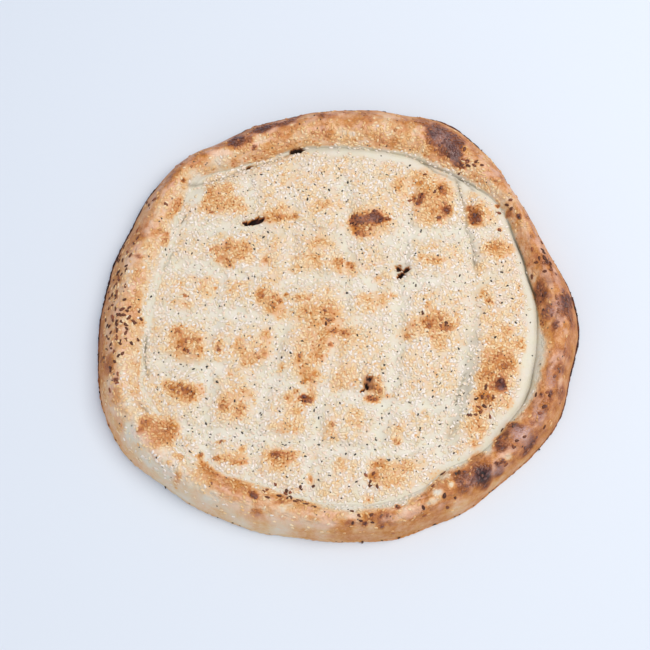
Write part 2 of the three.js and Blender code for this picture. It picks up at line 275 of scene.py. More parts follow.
# Browner places on the rim: angle in degrees, depth in from the foot, half width along it and across it,
# browning
rimMarks = [
    (85, 20, 13, 6, 0.50), (76, 31, 10, 3, 0.46), (66, 12, 5, 7, 0.62), (61.5, 19, 9, 9, 0.78),
    (57, 19, 9, 9, 0.79), (61.5, 22, 4, 2.5, 0.88), (55, 23, 6, 2.5, 0.88), (53.5, 24, 7, 5, 0.84),
    (56, 28, 5, 3, 0.76), (51.0, 27, 6, 2.5, 0.78), (61, 12, 8, 3, 0.68), (59, 26, 10, 5, 0.70),
    (58, 31, 8, 2.5, 0.58), (54, 16, 3, 8, 0.72), (49.3, 21, 1.8, 1.5, 0.78), (40, 12, 14, 5, 0.50),
    (27.6, 13, 2.4, 2.0, 0.80), (30, 17, 2.4, 2, 0.64), (20, 10, 6, 5, 0.58), (14, 14, 8, 7, 0.60),
    (12.5, 12, 2, 3, 0.74), (8, 15, 6, 8, 0.62), (5, 25, 9, 4, 0.72), (2.5, 9, 6, 6, 0.80),
    (0, 14, 6, 5, 0.74), (359, 24, 6, 4, 0.70), (355.5, 20, 3, 2.5, 0.78), (349, 8, 7, 5, 0.60),
    (344.5, 10, 4, 5, 0.68), (339.5, 6, 6, 3, 0.68), (337.5, 13, 2.2, 1.8, 0.82),
    (333.5, 12, 1.8, 1.6, 0.78), (336, 20, 2, 1.5, 0.74), (333, 18, 5, 5, 0.60),
    (321.2, 21.5, 11, 3.2, 0.72), (318.3, 17, 5, 4, 0.74), (322, 15, 10, 9, 0.60), (325.6, 20, 3, 6, 0.80),
    (324.2, 5.2, 7, 2.2, 0.78), (316.5, 9, 2, 1.8, 0.80), (314.5, 10, 1.8, 2.2, 0.80),
    (309, 14, 12, 8, 0.68), (310.2, 10.5, 6.5, 6, 0.90), (304.5, 16, 6, 8, 0.70),
    (309.5, 4.8, 5, 1.6, 0.74), (311.8, 21, 7, 5, 0.56), (314, 6, 5, 3, 0.74), (302, 16, 10, 7, 0.55),
    (296, 12, 9, 8, 0.54), (291, 7, 8, 2.5, 0.52), (295, 11, 6, 3, 0.52), (286, 17, 1.6, 2.2, 0.78),
    (281, 8, 3, 2.5, 0.66), (282, 13, 8, 4.5, 0.62), (278.5, 13, 5, 3, 0.60), (277, 9, 2, 1.6, 0.78),
    (273, 9, 4, 2.5, 0.60), (262, 18, 9, 4, 0.43), (254, 21, 6, 4, 0.51), (249.5, 10, 3.4, 2.6, 0.60),
    (246.5, 20, 4.5, 3, 0.72), (242, 21, 12, 6, 0.50), (236, 20, 10, 6, 0.46), (232, 24, 9, 3.5, 0.52),
    (227.5, 8, 3, 4, 0.46), (224, 20, 5, 3, 0.40), (216, 26, 11, 12, 0.46), (216, 27, 8, 9, 0.51),
    (212, 23, 5, 5, 0.54), (216.5, 34, 5, 5, 0.52), (213, 17, 3, 3, 0.58), (208, 8, 8, 4, 0.36),
    (202, 12, 7, 6, 0.44), (198.5, 15, 2, 2.5, 0.76), (194, 10, 7, 4, 0.62), (184, 2.5, 34, 3.5, 0.57),
    (188, 20, 12, 10, 0.37), (178, 20, 10, 9, 0.35), (176, 25, 9, 4, 0.40), (165, 20, 1.6, 4, 0.66),
    (160, 12, 9, 5, 0.52), (157, 30, 5, 2.5, 0.50), (147, 26, 9, 3, 0.50), (142, 14, 6, 4, 0.52),
    (139, 19, 1.8, 1.4, 0.74), (131, 13, 12, 5, 0.54), (139, 11, 12, 3, 0.54), (120, 14, 8, 5, 0.80),
    (117.5, 17, 6, 4, 0.68), (112, 13.5, 9, 3.6, 0.82), (116, 24, 2.5, 1.5, 0.72), (106, 13, 10, 3.4, 0.74),
    (106, 18, 12, 4, 0.48), (180, 25, 8, 5, 0.43), (100, 16, 6, 3, 0.50), (94, 20, 6, 5, 0.44),
    (113, 29, 10, 4, 0.42),
]

# Blistered skin, thin and shiny over scorched dough, its sheen painted into the colour as mauve-grey
# specks; the level is how much of that painted sheen shows
blisterSheenSpots = [
    (73, 122, 10, 6, 0.5, -50), (81, 110, 4, 7, 0.4), (20, 64, 8, 3, 0.4), (147, 0, 5, 9, 0.6),
    (122, -86.5, 7, 6, 1.0, 35), (105, -110, 6, 2.5, 0.7, 25), (87, -118, 5, 4, 0.6),
    (-19, -64, 3, 2.5, 0.4), (-148, 63, 3, 3, 0.1), (110, -55, 2, 1.5, 0.4), (134, -75, 4, 6, 0.6),
    (142, -50, 2.5, 8, 0.6),
]


def aroundRim(values, angle):
    # smooth closed curve through the values: a cubic between each two, with the slope of its neighbours
    # at both ends
    values = np.array(values, float)
    place = (angle / (2 * np.pi)) % 1 * len(values)
    index = np.floor(place).astype(int)
    t = place - index
    before, start, end, after = (values[(index + step) % len(values)] for step in (-1, 0, 1, 2))
    slopeIn, slopeOut = (end - before) / 2, (after - start) / 2
    bend = 3 * (end - start) - 2 * slopeIn - slopeOut
    twist = 2 * (start - end) + slopeIn + slopeOut
    return start + t * (slopeIn + t * (bend + t * twist))


def ease(low, high, value):
    # 0 below low, 1 above high, and 3t² − 2t³ between
    t = np.clip((value - low) / (high - low), 0, 1)
    return t * t * (3 - 2 * t)


# The lattice that every noise is read from repeats after this many cells each way
latticeCells = 64


def softNoise(x, y, size, seed):
    # gradient noise, about −1 to 1: slopes of random direction on a lattice of the given size, eased
    # between its corners
    turns = np.random.default_rng(seed).uniform(0, 2 * np.pi, (latticeCells, latticeCells))
    column, row = np.floor(x / size).astype(int), np.floor(y / size).astype(int)
    right, up = x / size - column, y / size - row
    easeX, easeY = ease(0, 1, right), ease(0, 1, up)

    def corner(stepX, stepY):
        turn = turns[(column + stepX) % latticeCells, (row + stepY) % latticeCells]
        return np.cos(turn) * (right - stepX) + np.sin(turn) * (up - stepY)

    low = corner(0, 0) * (1 - easeX) + corner(1, 0) * easeX
    high = corner(0, 1) * (1 - easeX) + corner(1, 1) * easeX
    return 1.5 * (low * (1 - easeY) + high * easeY)


def layeredNoise(x, y, size, seed, layers=3):
    # each layer half as large and half as strong as the one before
    return sum(softNoise(x, y, size / 2 ** k, seed + k) / 2 ** k for k in range(layers))


def blobNoise(x, y, size, seed):
    # rounded blobs, 0 to 1: one to a cell of the given size, each set off at random and with its own
    # strength; the strongest at a place counts, fading as e to the minus fourth power of the distance
    random = np.random.default_rng(seed)
    offX, offY = random.uniform(0.1, 0.9, (2, latticeCells, latticeCells))
    strength = random.uniform(0, 1, (latticeCells, latticeCells)) ** 1.4
    reach = random.uniform(0.45, 0.8, (latticeCells, latticeCells))
    column, row = np.floor(x / size).astype(int), np.floor(y / size).astype(int)
    best = np.zeros_like(x)
    for stepX in (-1, 0, 1):
        for stepY in (-1, 0, 1):
            cell = (column + stepX) % latticeCells, (row + stepY) % latticeCells
            awayX = x / size - column - stepX - offX[cell]
            awayY = y / size - row - stepY - offY[cell]
            best = np.maximum(best, strength[cell] * np.exp(-(np.hypot(awayX, awayY) / reach[cell]) ** 4))
    return best


# What is uneven, and by how much: each kind of noise with its size in millimetres, its seed and its
# amount, which is in millimetres for places and heights, a share of the whole for widths, depths and
# cover, and browning for bakes
unevenness = {
    "skirtWidth": [(softNoise, 9, 15, 0.5)],
    "crease": [(layeredNoise, 19, 16, 0.6)],
    "creaseCut": [(softNoise, 14, 45, 0.4)],
    "bandWidth": [(layeredNoise, 17, 47, 0.55)],
    "bandEdge": [(layeredNoise, 8, 78, 1.2)],
    "furrowLine": [(layeredNoise, 19, 11, 3.0)],
    "furrowDepth": [(softNoise, 26, 14, 0.5), (softNoise, 9, 12, 0.25)],
    "furrowWidth": [(softNoise, 15, 13, 0.35), (softNoise, 5, 19, 0.15)],
    "crackLine": [(layeredNoise, 9, 17, 0.9)],
    "tearX": [(softNoise, 2.6, 21, 0.6)],
    "tearY": [(softNoise, 2.6, 22, 0.6)],
    "field": [(layeredNoise, 20, 31, 0.7), (softNoise, 4.5, 34, 0.3), (blobNoise, 6, 36, 0.5)],
    "rim": [(layeredNoise, 27, 41, 1.0), (softNoise, 6, 44, 0.3), (blobNoise, 7, 46, 0.35)],
    "blobs": [(blobNoise, 6, 57, 0.6), (blobNoise, 3, 58, 0.4)],
    "fieldBake": [(layeredNoise, 14, 54, 0.06), (softNoise, 4, 56, 0.05)],
    "patchBake": [(softNoise, 3, 59, 0.12)],
    "rimBake": [(layeredNoise, 15, 51, 0.12), (softNoise, 4, 55, 0.05)],
    "rimFringe": [(softNoise, 7, 52, 0.4)],
    "bakeX": [(layeredNoise, 10, 61, 2.0), (softNoise, 2.6, 64, 0.8)],
    "bakeY": [(layeredNoise, 10, 65, 2.0), (softNoise, 2.6, 68, 0.8)],
    "creaseShadeLine": [(softNoise, 12, 45, 0.5)],
    "creaseShade": [(softNoise, 17, 48, 0.4)],
    "greyFold": [(softNoise, 5, 49, 0.5)],
    "sheenSpotEdge": [(layeredNoise, 8, 77, 1.5)],
    "skirtTip": [(softNoise, 2.4, 71, 0.8), (softNoise, 6, 72, 0.6)],
    "skirtHeight": [(softNoise, 4, 74, 0.3)],
    "underside": [(layeredNoise, 18, 73, 0.22)],
    "seedClumps": [(layeredNoise, 11, 102, 0.35)],
}


def uneven(x, y, name):
    # the sum of the noises listed under the name, each times its amount
    return sum(amount * noise(x, y, size, seed) for noise, size, seed, amount in unevenness[name])


def inSpot(x, y, spot, power=2):
    # 1 in the middle of an ellipse and 0 outside it: e to the minus (distance over half width) to a power
    spotX, spotY, halfLong, halfShort = spot[:4]
    turn = np.radians(spot[5]) if len(spot) > 5 else 0.0
    along = (x - spotX) * np.cos(turn) + (y - spotY) * np.sin(turn)
    across = (y - spotY) * np.cos(turn) - (x - spotX) * np.sin(turn)
    return np.exp(-np.hypot(along / halfLong, across / halfShort) ** power)


def rimRadii(angle):
    # radii of the outline, the wall's foot, the crest and the crease: smooth curves, the outline with two
    # small waves on it, the foot and the crease with some noise
    waves = (np.sin(13 * angle + 1) + np.sin(21 * angle + 4)) / 2
    outline = aroundRim(bread["footRadii"], angle) + bread["edgeWobble"] * waves
    edgeX, edgeY = bread["meanRadius"] * np.cos(angle), bread["meanRadius"] * np.sin(angle)
    foot = outline - aroundRim(bread["skirtWidths"], angle) * (1 + uneven(edgeX, edgeY, "skirtWidth"))
    crease = aroundRim(bread["creaseRadii"], angle) + uneven(edgeX, edgeY, "crease")
    crest = foot - aroundRim(bread["crestShares"], angle) * (foot - crease)
    return outline, foot, crest, crease


def rimPlace(x, y):
    # where a point lies across the rim: −1 at the crease, 0 on the crest and 1 at the foot; how far it is
    # inside the crease; and its angle
    radius, angle = np.hypot(x, y), np.arctan2(y, x)
    foot, crest, crease = rimRadii(angle)[1:]
    outward = np.clip((radius - crest) / (foot - crest), 0, 1)
    inward = np.clip((crest - radius) / (crest - crease), 0, 1)
    return outward - inward, crease - radius, angle


def rimStreaks(angle, across, seed):
    # noise drawn out along the rim: the lattice goes once round it, each cell about half as wide as it is
    # long
    middle = latticeCells / 2
    return layeredNoise(middle + latticeCells * angle / (2 * np.pi), middle + 2.4 * across, 1, seed)


def alongLine(x, y, start, end, bow, sway=0):
    # distance to the left of a line that bows by a half wave and sways by a whole one, and how far past
    # its ends
    alongX, alongY = end[0] - start[0], end[1] - start[1]
    length = np.hypot(alongX, alongY)
    share = ((x - start[0]) * alongX + (y - start[1]) * alongY) / length ** 2
    aside = ((y - start[1]) * alongX - (x - start[0]) * alongY) / length
    pastEnd = np.clip(np.maximum(-share, share - 1), 0, None) * length
    return aside - bow * np.sin(np.pi * share) - sway * np.sin(2 * np.pi * share), pastEnd


def bandWidth(x, y, angle):
    # the smooth band inside the crease: its width at equal angles, made uneven in proportion and by a
    # millimetre or so
    width = aroundRim(bread["bandWidths"], angle) * (1 + uneven(x, y, "bandWidth"))
    return np.clip(width + uneven(x, y, "bandEdge"), 0, None)


def furrowDepth(x, y):
    # the deepest furrow at a point: a bell across each line, which strays and varies in depth and width
    # with noise
    pressed = np.zeros_like(x)
    stray = uneven(x, y, "furrowLine")
    press = furrows["press"] + uneven(x, y, "furrowDepth")
    width = furrows["halfWidth"] * (1 + uneven(x, y, "furrowWidth"))
    for start, end, bow, sway, depth in furrows["lines"]:
        aside, pastEnd = alongLine(x, y, start, end, bow, sway)
        bell = np.exp(-np.abs((aside - stray) / width) ** 2.2 - (pastEnd / furrows["fade"]) ** 2)
        pressed = np.maximum(pressed, depth * press * bell)
    return pressed


def crackDepth(x, y):
    # the deepest crack at a point: a narrow V, with noise in its run
    depth = np.zeros_like(x)
    stray = uneven(x, y, "crackLine")
    for start, end, bow, deepest in cracks["lines"]:
        aside, pastEnd = alongLine(x, y, start, end, bow)
        fall = np.abs((aside - stray) / cracks["halfWidth"]) + (pastEnd / cracks["fade"]) ** 2
        depth = np.maximum(depth, deepest * np.exp(-fall))
    return depth


def tearDepth(x, y):
    # the deepest tear at a point: flat inside its ellipse, with a strongly ragged edge that drops steeply
    raggedX, raggedY = x + uneven(x, y, "tearX"), y + uneven(x, y, "tearY")
    depth = np.zeros_like(x)
    for tear in tears["places"]:
        depth = np.maximum(depth, tear[4] * ease(*tears["edge"], inSpot(raggedX, raggedY, tear, 3)))
    return depth


def fieldHeight(x, y, inside):
    # pillows between the furrows, with blisters and a fine unevenness, opening upwards from the crease:
    # smoothly, or in two steps where a broad smooth band runs along it
    angle = np.arctan2(y, x)
    inside = np.clip(inside, 0, None)
    height = bread["fieldHeight"] + bread["fieldDoming"] * (1 - (np.hypot(x, y) / bread["domeRadius"]) ** 2)
    for swellX, swellY, reach, rise in swells:
        height = height + rise * np.exp(-((x - swellX) ** 2 + (y - swellY) ** 2) / reach ** 2)
    height = height + uneven(x, y, "field") - furrowDepth(x, y)
    smooth = 1 - np.exp(-(inside / opening["reach"]) ** 2)
    firstStep = 1 - np.exp(-(inside / opening["firstReach"]) ** 2)
    secondStep = ease(*opening["secondEdge"], inside)
    stepped = opening["firstShare"] * firstStep + (1 - opening["firstShare"]) * secondStep
    broad = np.clip(aroundRim(bread["bandWidths"], angle) / opening["broadBand"], 0, 1)
    low = aroundRim(bread["creaseHeights"], angle)
    return low + (smooth + broad * (stepped - smooth)) * (height - low)


def crustHeight(x, y):
    # the rim is a rounded parabola outside its crest and a steeper power curve inside it; the field lies
    # in it, with the crease cut between them
    across, inside, angle = rimPlace(x, y)
    top = aroundRim(bread["crestHeights"], angle)
    outward, inward = np.clip(across, 0, 1), np.clip(-across, 0, 1)
    outer = bread["footTop"] + (top - bread["footTop"]) * (1 - outward ** 2) ** bread["outerRoundness"]
    fall = inward ** aroundRim(bread["flankPowers"], angle)
    inner = top - (top - aroundRim(bread["creaseHeights"], angle)) * fall
    rim = np.where(across > 0, outer, inner) + uneven(x, y, "rim") * (1 - across ** 4)
    height = np.where(inside > 0, fieldHeight(x, y, inside), rim)
    cut = aroundRim(bread["creaseCuts"], angle) * (1 + uneven(x, y, "creaseCut"))
    halfWidth = np.where(inside > 0, opening["cutInside"], opening["cutOutside"])
    height = height - cut * np.exp(-(inside / halfWidth) ** 2)
    return np.clip(height - crackDepth(x, y) - tearDepth(x, y), bread["lowestCrust"], None)


def unit(vectors):
    # each vector over its own length
    return vectors / np.linalg.norm(vectors, axis=-1, keepdims=True)


def crustNormal(x, y, step=0.6):
    # across the slopes of the height in X and Y
    slopeX = (crustHeight(x + step, y) - crustHeight(x - step, y)) / (2 * step)
    slopeY = (crustHeight(x, y + step) - crustHeight(x, y - step)) / (2 * step)
    return unit(np.stack([-slopeX, -slopeY, np.ones_like(x)], axis=-1))


# How strongly the browning is laid on, 0 raw to 1 burnt. What is called ragged is a share of the
# wandering of the edges, and a lift is added to the level of every spot of the kind
bakes = {
    "foot": 0.1, "footFromWall": 0.55, "footFromBran": 0.58,
    "rimBlobs": 0.10, "rimStreaks": 0.10, "rimFringe": 0.3,
    "furrow": 0.01, "seeded": 0.035, "pillow": 0.15, "pillowBlobs": 0.05,
    "patchWidening": 1.12, "patchInFurrow": 0.62, "patchLevel": 1.12, "patchBlobs": 0.42,
    "hotRagged": 0.35, "hotLift": 0.05,
    "markRagged": 0.5, "markLift": 0.03,
    "haloShare": 0.3, "haloArea": 2.6, "haloLevel": 0.60,
}


def browned(bake, share, level):
    # a browner place takes its share of what is still paler than it
    return np.maximum(bake, bake + (level - bake) * np.clip(share, 0, 1))


def footBake(angle):
    # the thin edge that lay on the oven floor: a share of its wall's browning, and more where bran has
    # stuck to it
    wall, cover = aroundRim(rimBakes["wall"], angle), aroundRim(bran["cover"], angle)
    return bakes["foot"] + bakes["footFromWall"] * wall + bakes["footFromBran"] * cover


def rimBrowning(x, y, across, inside, angle, blobs):
    # flank, crest, shoulder and wall values blended across the rim, with mottling that fades down the
    # wall, streaks along the rim and a pale fringe above the crease
    wall, shoulder, crest, flank = (
        aroundRim(rimBakes[name], angle) for name in ("wall", "shoulder", "crest", "flank")
    )
    rim = crest + (flank - crest) * ease(0.2, 0.75, -across)
    rim = rim + (shoulder - crest) * ease(0, 0.35, across) + (wall - shoulder) * ease(0.6, 0.9, across)
    mottling = uneven(x, y, "rimBake") + bakes["rimBlobs"] * (blobs - 0.3)
    rim = rim + mottling * (1 - 0.75 * ease(0.5, 0.9, across))
    rim = rim + bakes["rimStreaks"] * rimStreaks(angle, across, 53)
    fringe = aroundRim(rimBakes["fringe"], angle) * (1 + uneven(x, y, "rimFringe"))
    aboveFringe = ease(0.3 * fringe, 1.1 * fringe + 0.3, -inside)
    return rim * (bakes["rimFringe"] + (1 - bakes["rimFringe"]) * aboveFringe)


def fieldBrowning(x, y, inside, angle, blobs, raggedX, raggedY):
    # palest in the furrows and on the smooth band, browner on the pillows, and then the patches, which
    # have ragged edges, show less in the furrows and are broken up into blobs
    pillow = 1 - np.clip(furrowDepth(x, y) / 2.2, 0, 1)
    heat = np.zeros_like(x)
    widening = bakes["patchWidening"]
    for patchX, patchY, halfLong, halfShort, level, *turn in patches:
        wider = (patchX, patchY, widening * halfLong, widening * halfShort, level, *turn)
        heat = browned(heat, inSpot(x + raggedX, y + raggedY, wider, 2.6), level)
    heat = heat * (bakes["patchInFurrow"] + (1 - bakes["patchInFurrow"]) * pillow)
    band = bandWidth(x, y, angle)
    seeded = ease(0.3 * band, 1.1 * band + 1.6, inside)
    skin = bakes["seeded"] + bakes["pillow"] * pillow + uneven(x, y, "fieldBake")
    broken = bakes["patchLevel"] + bakes["patchBlobs"] * blobs + uneven(x, y, "patchBake")
    field = browned(bakes["furrow"] + seeded * skin, 1, heat * broken)
    return field + bakes["pillowBlobs"] * pillow * blobs * seeded


def browning(x, y, darkSeeds=()):
    # the rim's and the field's own browning; on it the hot spots, the marks on the rim and the pale spots,
    # all with ragged edges; then a halo round each dark seed, the foot's thin edge, and the floors of the
    # tears painted black for the shade deep in them
    across, inside, angle = rimPlace(x, y)
    blobs = uneven(x, y, "blobs")
    raggedX, raggedY = uneven(x, y, "bakeX"), uneven(x, y, "bakeY")
    field = fieldBrowning(x, y, inside, angle, blobs, raggedX, raggedY)
    bake = np.where(inside > 0, field, rimBrowning(x, y, across, inside, angle, blobs))
    broken = 0.95 + 0.3 * blobs

    ragged = bakes["hotRagged"]
    for spot in hotSpots:
        share = inSpot(x + ragged * raggedX, y + ragged * raggedY, spot, 4) * broken
        bake = browned(bake, share, spot[4] + bakes["hotLift"])
    ragged = bakes["markRagged"]
    for degrees, depth, halfAlong, halfAcross, level in rimMarks:
        turn = np.radians(degrees)
        radius = rimRadii(turn)[0] - depth
        spot = (radius * np.cos(turn), radius * np.sin(turn), halfAlong, halfAcross, level, degrees + 90)
        share = inSpot(x + ragged * raggedX, y + ragged * raggedY, spot, 4) * broken
        bake = browned(bake, share, level + bakes["markLift"])
    for spot in paleSpots:
        share = inSpot(x + ragged * raggedX, y + ragged * raggedY, spot, 4)
        bake = bake - np.clip(bake - spot[4], 0, None) * share
    for seedX, seedY in darkSeeds:
        near = np.exp(-((x - seedX) ** 2 + (y - seedY) ** 2) / bakes["haloArea"])
        bake = browned(bake, bakes["haloShare"] * near, bakes["haloLevel"])
    bake = browned(bake, ease(0.955, 0.995, across), footBake(angle))
    # painted shade: the deep floors of the tears go black
    bake = browned(bake, ease(0.9, 2.6, tearDepth(x, y)), 1.0)
    return np.clip(bake, 0, 1)


# Painted shade along the crease: its strength, the cut at which it is full, how far outside the crease it
# runs and its half width; the painted shade beside it with its reach; the grey of torn crumb with its
# painted shade at the edges of the tears; and the painted shade in the cracks, full at a depth
creaseShadePainting = {
    "line": 0.9, "fullCut": 2.4, "offset": 0.2, "halfWidth": 0.6,
    "shade": 0.55, "shadeReach": 3.2,
    "torn": 0.35, "cracked": 0.7, "fullCrack": 2.4,
}


def paintedCreaseShade(x, y):
    # how much painted shade shows at a point: a narrow dark bell just outside the crease, fading where the
    # crease is shallow, and a soft painted shade on the field beside it; painted shade along the grey folds
    # and in the cracks, and the grey crumb with its painted shade at the edges of the tears too
    inside, angle = rimPlace(x, y)[1:]
    cut = aroundRim(bread["creaseCuts"], angle) * (1 + uneven(x, y, "creaseShadeLine"))
    bell = np.exp(-np.abs((inside + creaseShadePainting["offset"]) / creaseShadePainting["halfWidth"]) ** 2.5)
    line = creaseShadePainting["line"] * np.clip(cut / creaseShadePainting["fullCut"], 0, 1) * bell
    shade = creaseShadePainting["shade"] * aroundRim(bread["creaseShades"], angle) * (1 + uneven(x, y, "creaseShade"))
    fading = np.exp(-np.clip(inside / creaseShadePainting["shadeReach"], 0, None) ** 1.5)
    shade = shade * fading * ease(-2.0, 0.0, inside)
    for start, end, bow, halfWidth, strength in greyFolds["lines"]:
        aside, pastEnd = alongLine(x, y, start, end, bow)
        streak = strength * np.exp(-(aside / halfWidth) ** 2 - (pastEnd / greyFolds["fade"]) ** 2)
        shade = np.maximum(shade, streak * (1 + uneven(x, y, "greyFold")))
    deep = tearDepth(x, y)
    torn = creaseShadePainting["torn"] * ease(0.4, 1.2, deep) * (1 - ease(1.4, 2.6, deep))
    cracked = np.clip(crackDepth(x, y) / creaseShadePainting["fullCrack"], 0, creaseShadePainting["cracked"])
    return np.max([line, shade, torn, cracked], axis=0)


def toFrame(points):
    # the outline's own box goes onto the frame's box in X and Y, and millimetres to metres in Z
    angle = np.linspace(0, 2 * np.pi, 1440)
    radius = rimRadii(angle)[0]
    outline = np.stack([radius * np.cos(angle), radius * np.sin(angle)], axis=-1)
    low, high = outline.min(axis=0), outline.max(axis=0)
    placed = np.array(points, float)
    placed[:, :2] = boxLow[:2] + (placed[:, :2] - low) * (boxHigh[:2] - boxLow[:2]) / (high - low)
    placed[:, 2] = boxLow[2] + placed[:, 2] * 0.001
    return placed


def addMesh(name, points, faceSets, attributes):
    # faceSets are arrays of one face a row, three or four corners each
    mesh = bpy.data.meshes.new(name)
    corners = np.concatenate([faces.ravel() for faces in faceSets])
    counts = np.concatenate([np.full(len(faces), faces.shape[1]) for faces in faceSets])
    mesh.vertices.add(len(points))
    mesh.vertices.foreach_set("co", toFrame(points).ravel())
    mesh.loops.add(len(corners))
    mesh.loops.foreach_set("vertex_index", corners.astype(np.int32))
    mesh.polygons.add(len(counts))
    mesh.polygons.foreach_set("loop_start", (np.cumsum(counts) - counts).astype(np.int32))
    mesh.update(calc_edges=True)
    mesh.validate()
    for attributeName, values in attributes.items():
        attribute = mesh.attributes.new(attributeName, "FLOAT", "POINT")
        attribute.data.foreach_set("value", values.astype(np.float32))
    mesh.shade_smooth()
    piece = bpy.data.objects.new(name, mesh)
    bpy.context.scene.collection.objects.link(piece)
    return piece


# The crust's mesh: cells along the square grid, the share of the way out at which the crease lies, how
# much the field's circles crowd towards it, and the share of the way out up to which points gather at the
# tears
grid = {"cells": 280, "creaseShare": 0.68, "crowding": 0.35, "gatherShare": 0.95}

# The ragged skirt, each ring with its share of the way from the foot to the tip, how far in it then is,
# its height and how much of the uneven height it takes; and the rings that cross the underside, as shares
# of the outline
skirt = {
    "raggedness": 0.4,
    "rings": [(0.5, 0, 1.25, 0.5), (1, 0, 0.95, 0.5), (1, 0, 0.45, 0.3), (1, 0.6, 0, 0)],
    "undersideRings": (0.98, 0.95, 0.88, 0.78, 0.66, 0.53, 0.40, 0.27, 0.14),
    "undersideDent": 0.22,
    "lowestUnderside": 0.03,
    "middleHeight": 0.2,
}


def discGrid(cells, creaseShare):
    # a square grid bent to a disc, each square ring becoming a circle; in the field the circles crowd a
    # little towards the crease, and on the rim they follow the cosine of half a turn, so that both flanks
    # get as many as the crest
    side = np.linspace(-1, 1, cells + 1)
    a, b = np.meshgrid(side, side, indexing="ij")
    wide = np.abs(a) > np.abs(b)
    far, near = np.where(wide, a, b), np.where(wide, b, a)
    turn = np.pi / 4 * near / np.where(far == 0, 1, far)
    turn = np.where(wide, turn, np.pi / 2 - turn)
    ring = np.abs(far)
    angle = np.arctan2(far * np.sin(turn), far * np.cos(turn))
    foot, crest, crease = rimRadii(angle)[1:]
    left = 1 - np.clip(ring / creaseShare, 0, 1)
    fieldRadius = crease * (1 - left * (1 + grid["crowding"] * left) / (1 + grid["crowding"]))
    swing = -np.cos(np.pi * np.clip((ring - creaseShare) / (1 - creaseShare), 0, 1))
    rimRadius = crest + np.where(swing > 0, swing * (foot - crest), swing * (crest - crease))
    radius = np.where(ring < creaseShare, fieldRadius, rimRadius)
    return radius * np.cos(angle), radius * np.sin(angle), ring


def gatherAtTears(x, y):
    # points near a deep tear move towards it by up to a third of their distance, for a finer mesh there
    for tear in tears["places"]:
        if tear[4] > tears["deepFrom"]:
            offX, offY = x - tear[0], y - tear[1]
            pull = tears["gather"] * np.exp(-(offX ** 2 + offY ** 2) / tears["gatherReach"] ** 2)
            x, y = x - pull * offX, y - pull * offY
    return x, y


def crustLooks(x, y, bake):
    # what the material shows at each point, 0 to 1. Wash: the rim from just above the crease, fading down
    # its wall. Painted sheen: the blistered skin. Painted highlight: streaks along the crest where it isn't
    # scorched. Painted shade: the crease, folds, cracks and tear edges. Gap shade: the field and the foot of
    # the inner flank
    across, inside, angle = rimPlace(x, y)
    onRim = inside <= 0
    blur = uneven(x, y, "sheenSpotEdge")
    streaks = ease(0.0, 0.5, rimStreaks(angle, across, 75))
    alongCrest = ease(-0.7, -0.2, across) * (1 - ease(0.4, 0.8, across))
    return {
        "bake": bake,
        "wash": ease(-1.0, -0.75, across) * (1 - 0.85 * ease(0.3, 0.7, across)) * onRim,
        # mauve-grey sheen painted on the blistered skin
        "paintedSheen": np.max([spot[4] * inSpot(x + blur, y - blur, spot, 4) for spot in blisterSheenSpots], axis=0),
        # painted shade in the crease, folds and cracks and at the tear edges
        "paintedShade": paintedCreaseShade(x, y),
        # a pink highlight painted into the colour in streaks along the crest
        "paintedHighlight": streaks * alongCrest * onRim * (1 - ease(0.6, 0.72, bake)),
        # where the dots of painted shade between the seeds go
        "gapShaded": ease(0.4, 0.9, -across),
    }


def underRings(turn):
    # below the top a ragged skirt spreads to the outline, then rings cross the underside, which is a
    # little uneven; their points, and the browning of each ring
    outline, foot = rimRadii(turn)[:2]
    rimX, rimY = outline * np.cos(turn), outline * np.sin(turn)
    ragged = uneven(rimX, rimY, "skirtTip") - 0.2
    tip = outline + skirt["raggedness"] * np.clip(ragged, -1.2, 1.0)
    wave = uneven(rimX, rimY, "skirtHeight")
    rings = []
    for share, inset, height, waviness in skirt["rings"]:
        radius, z = foot + share * (tip - foot) - inset, height + waviness * wave
        rings.append(np.stack([radius * np.cos(turn), radius * np.sin(turn), z], axis=-1))
    for share in skirt["undersideRings"]:
        ringX, ringY = rimX * share, rimY * share
        dent = (skirt["undersideDent"] + uneven(ringX, ringY, "underside")) * ease(0, 0.1, 1 - share)
        rings.append(np.stack([ringX, ringY, np.clip(dent, skirt["lowestUnderside"], None)], axis=-1))
    return rings, np.clip(footBake(turn) + 0.1 * ragged, 0, 0.95)


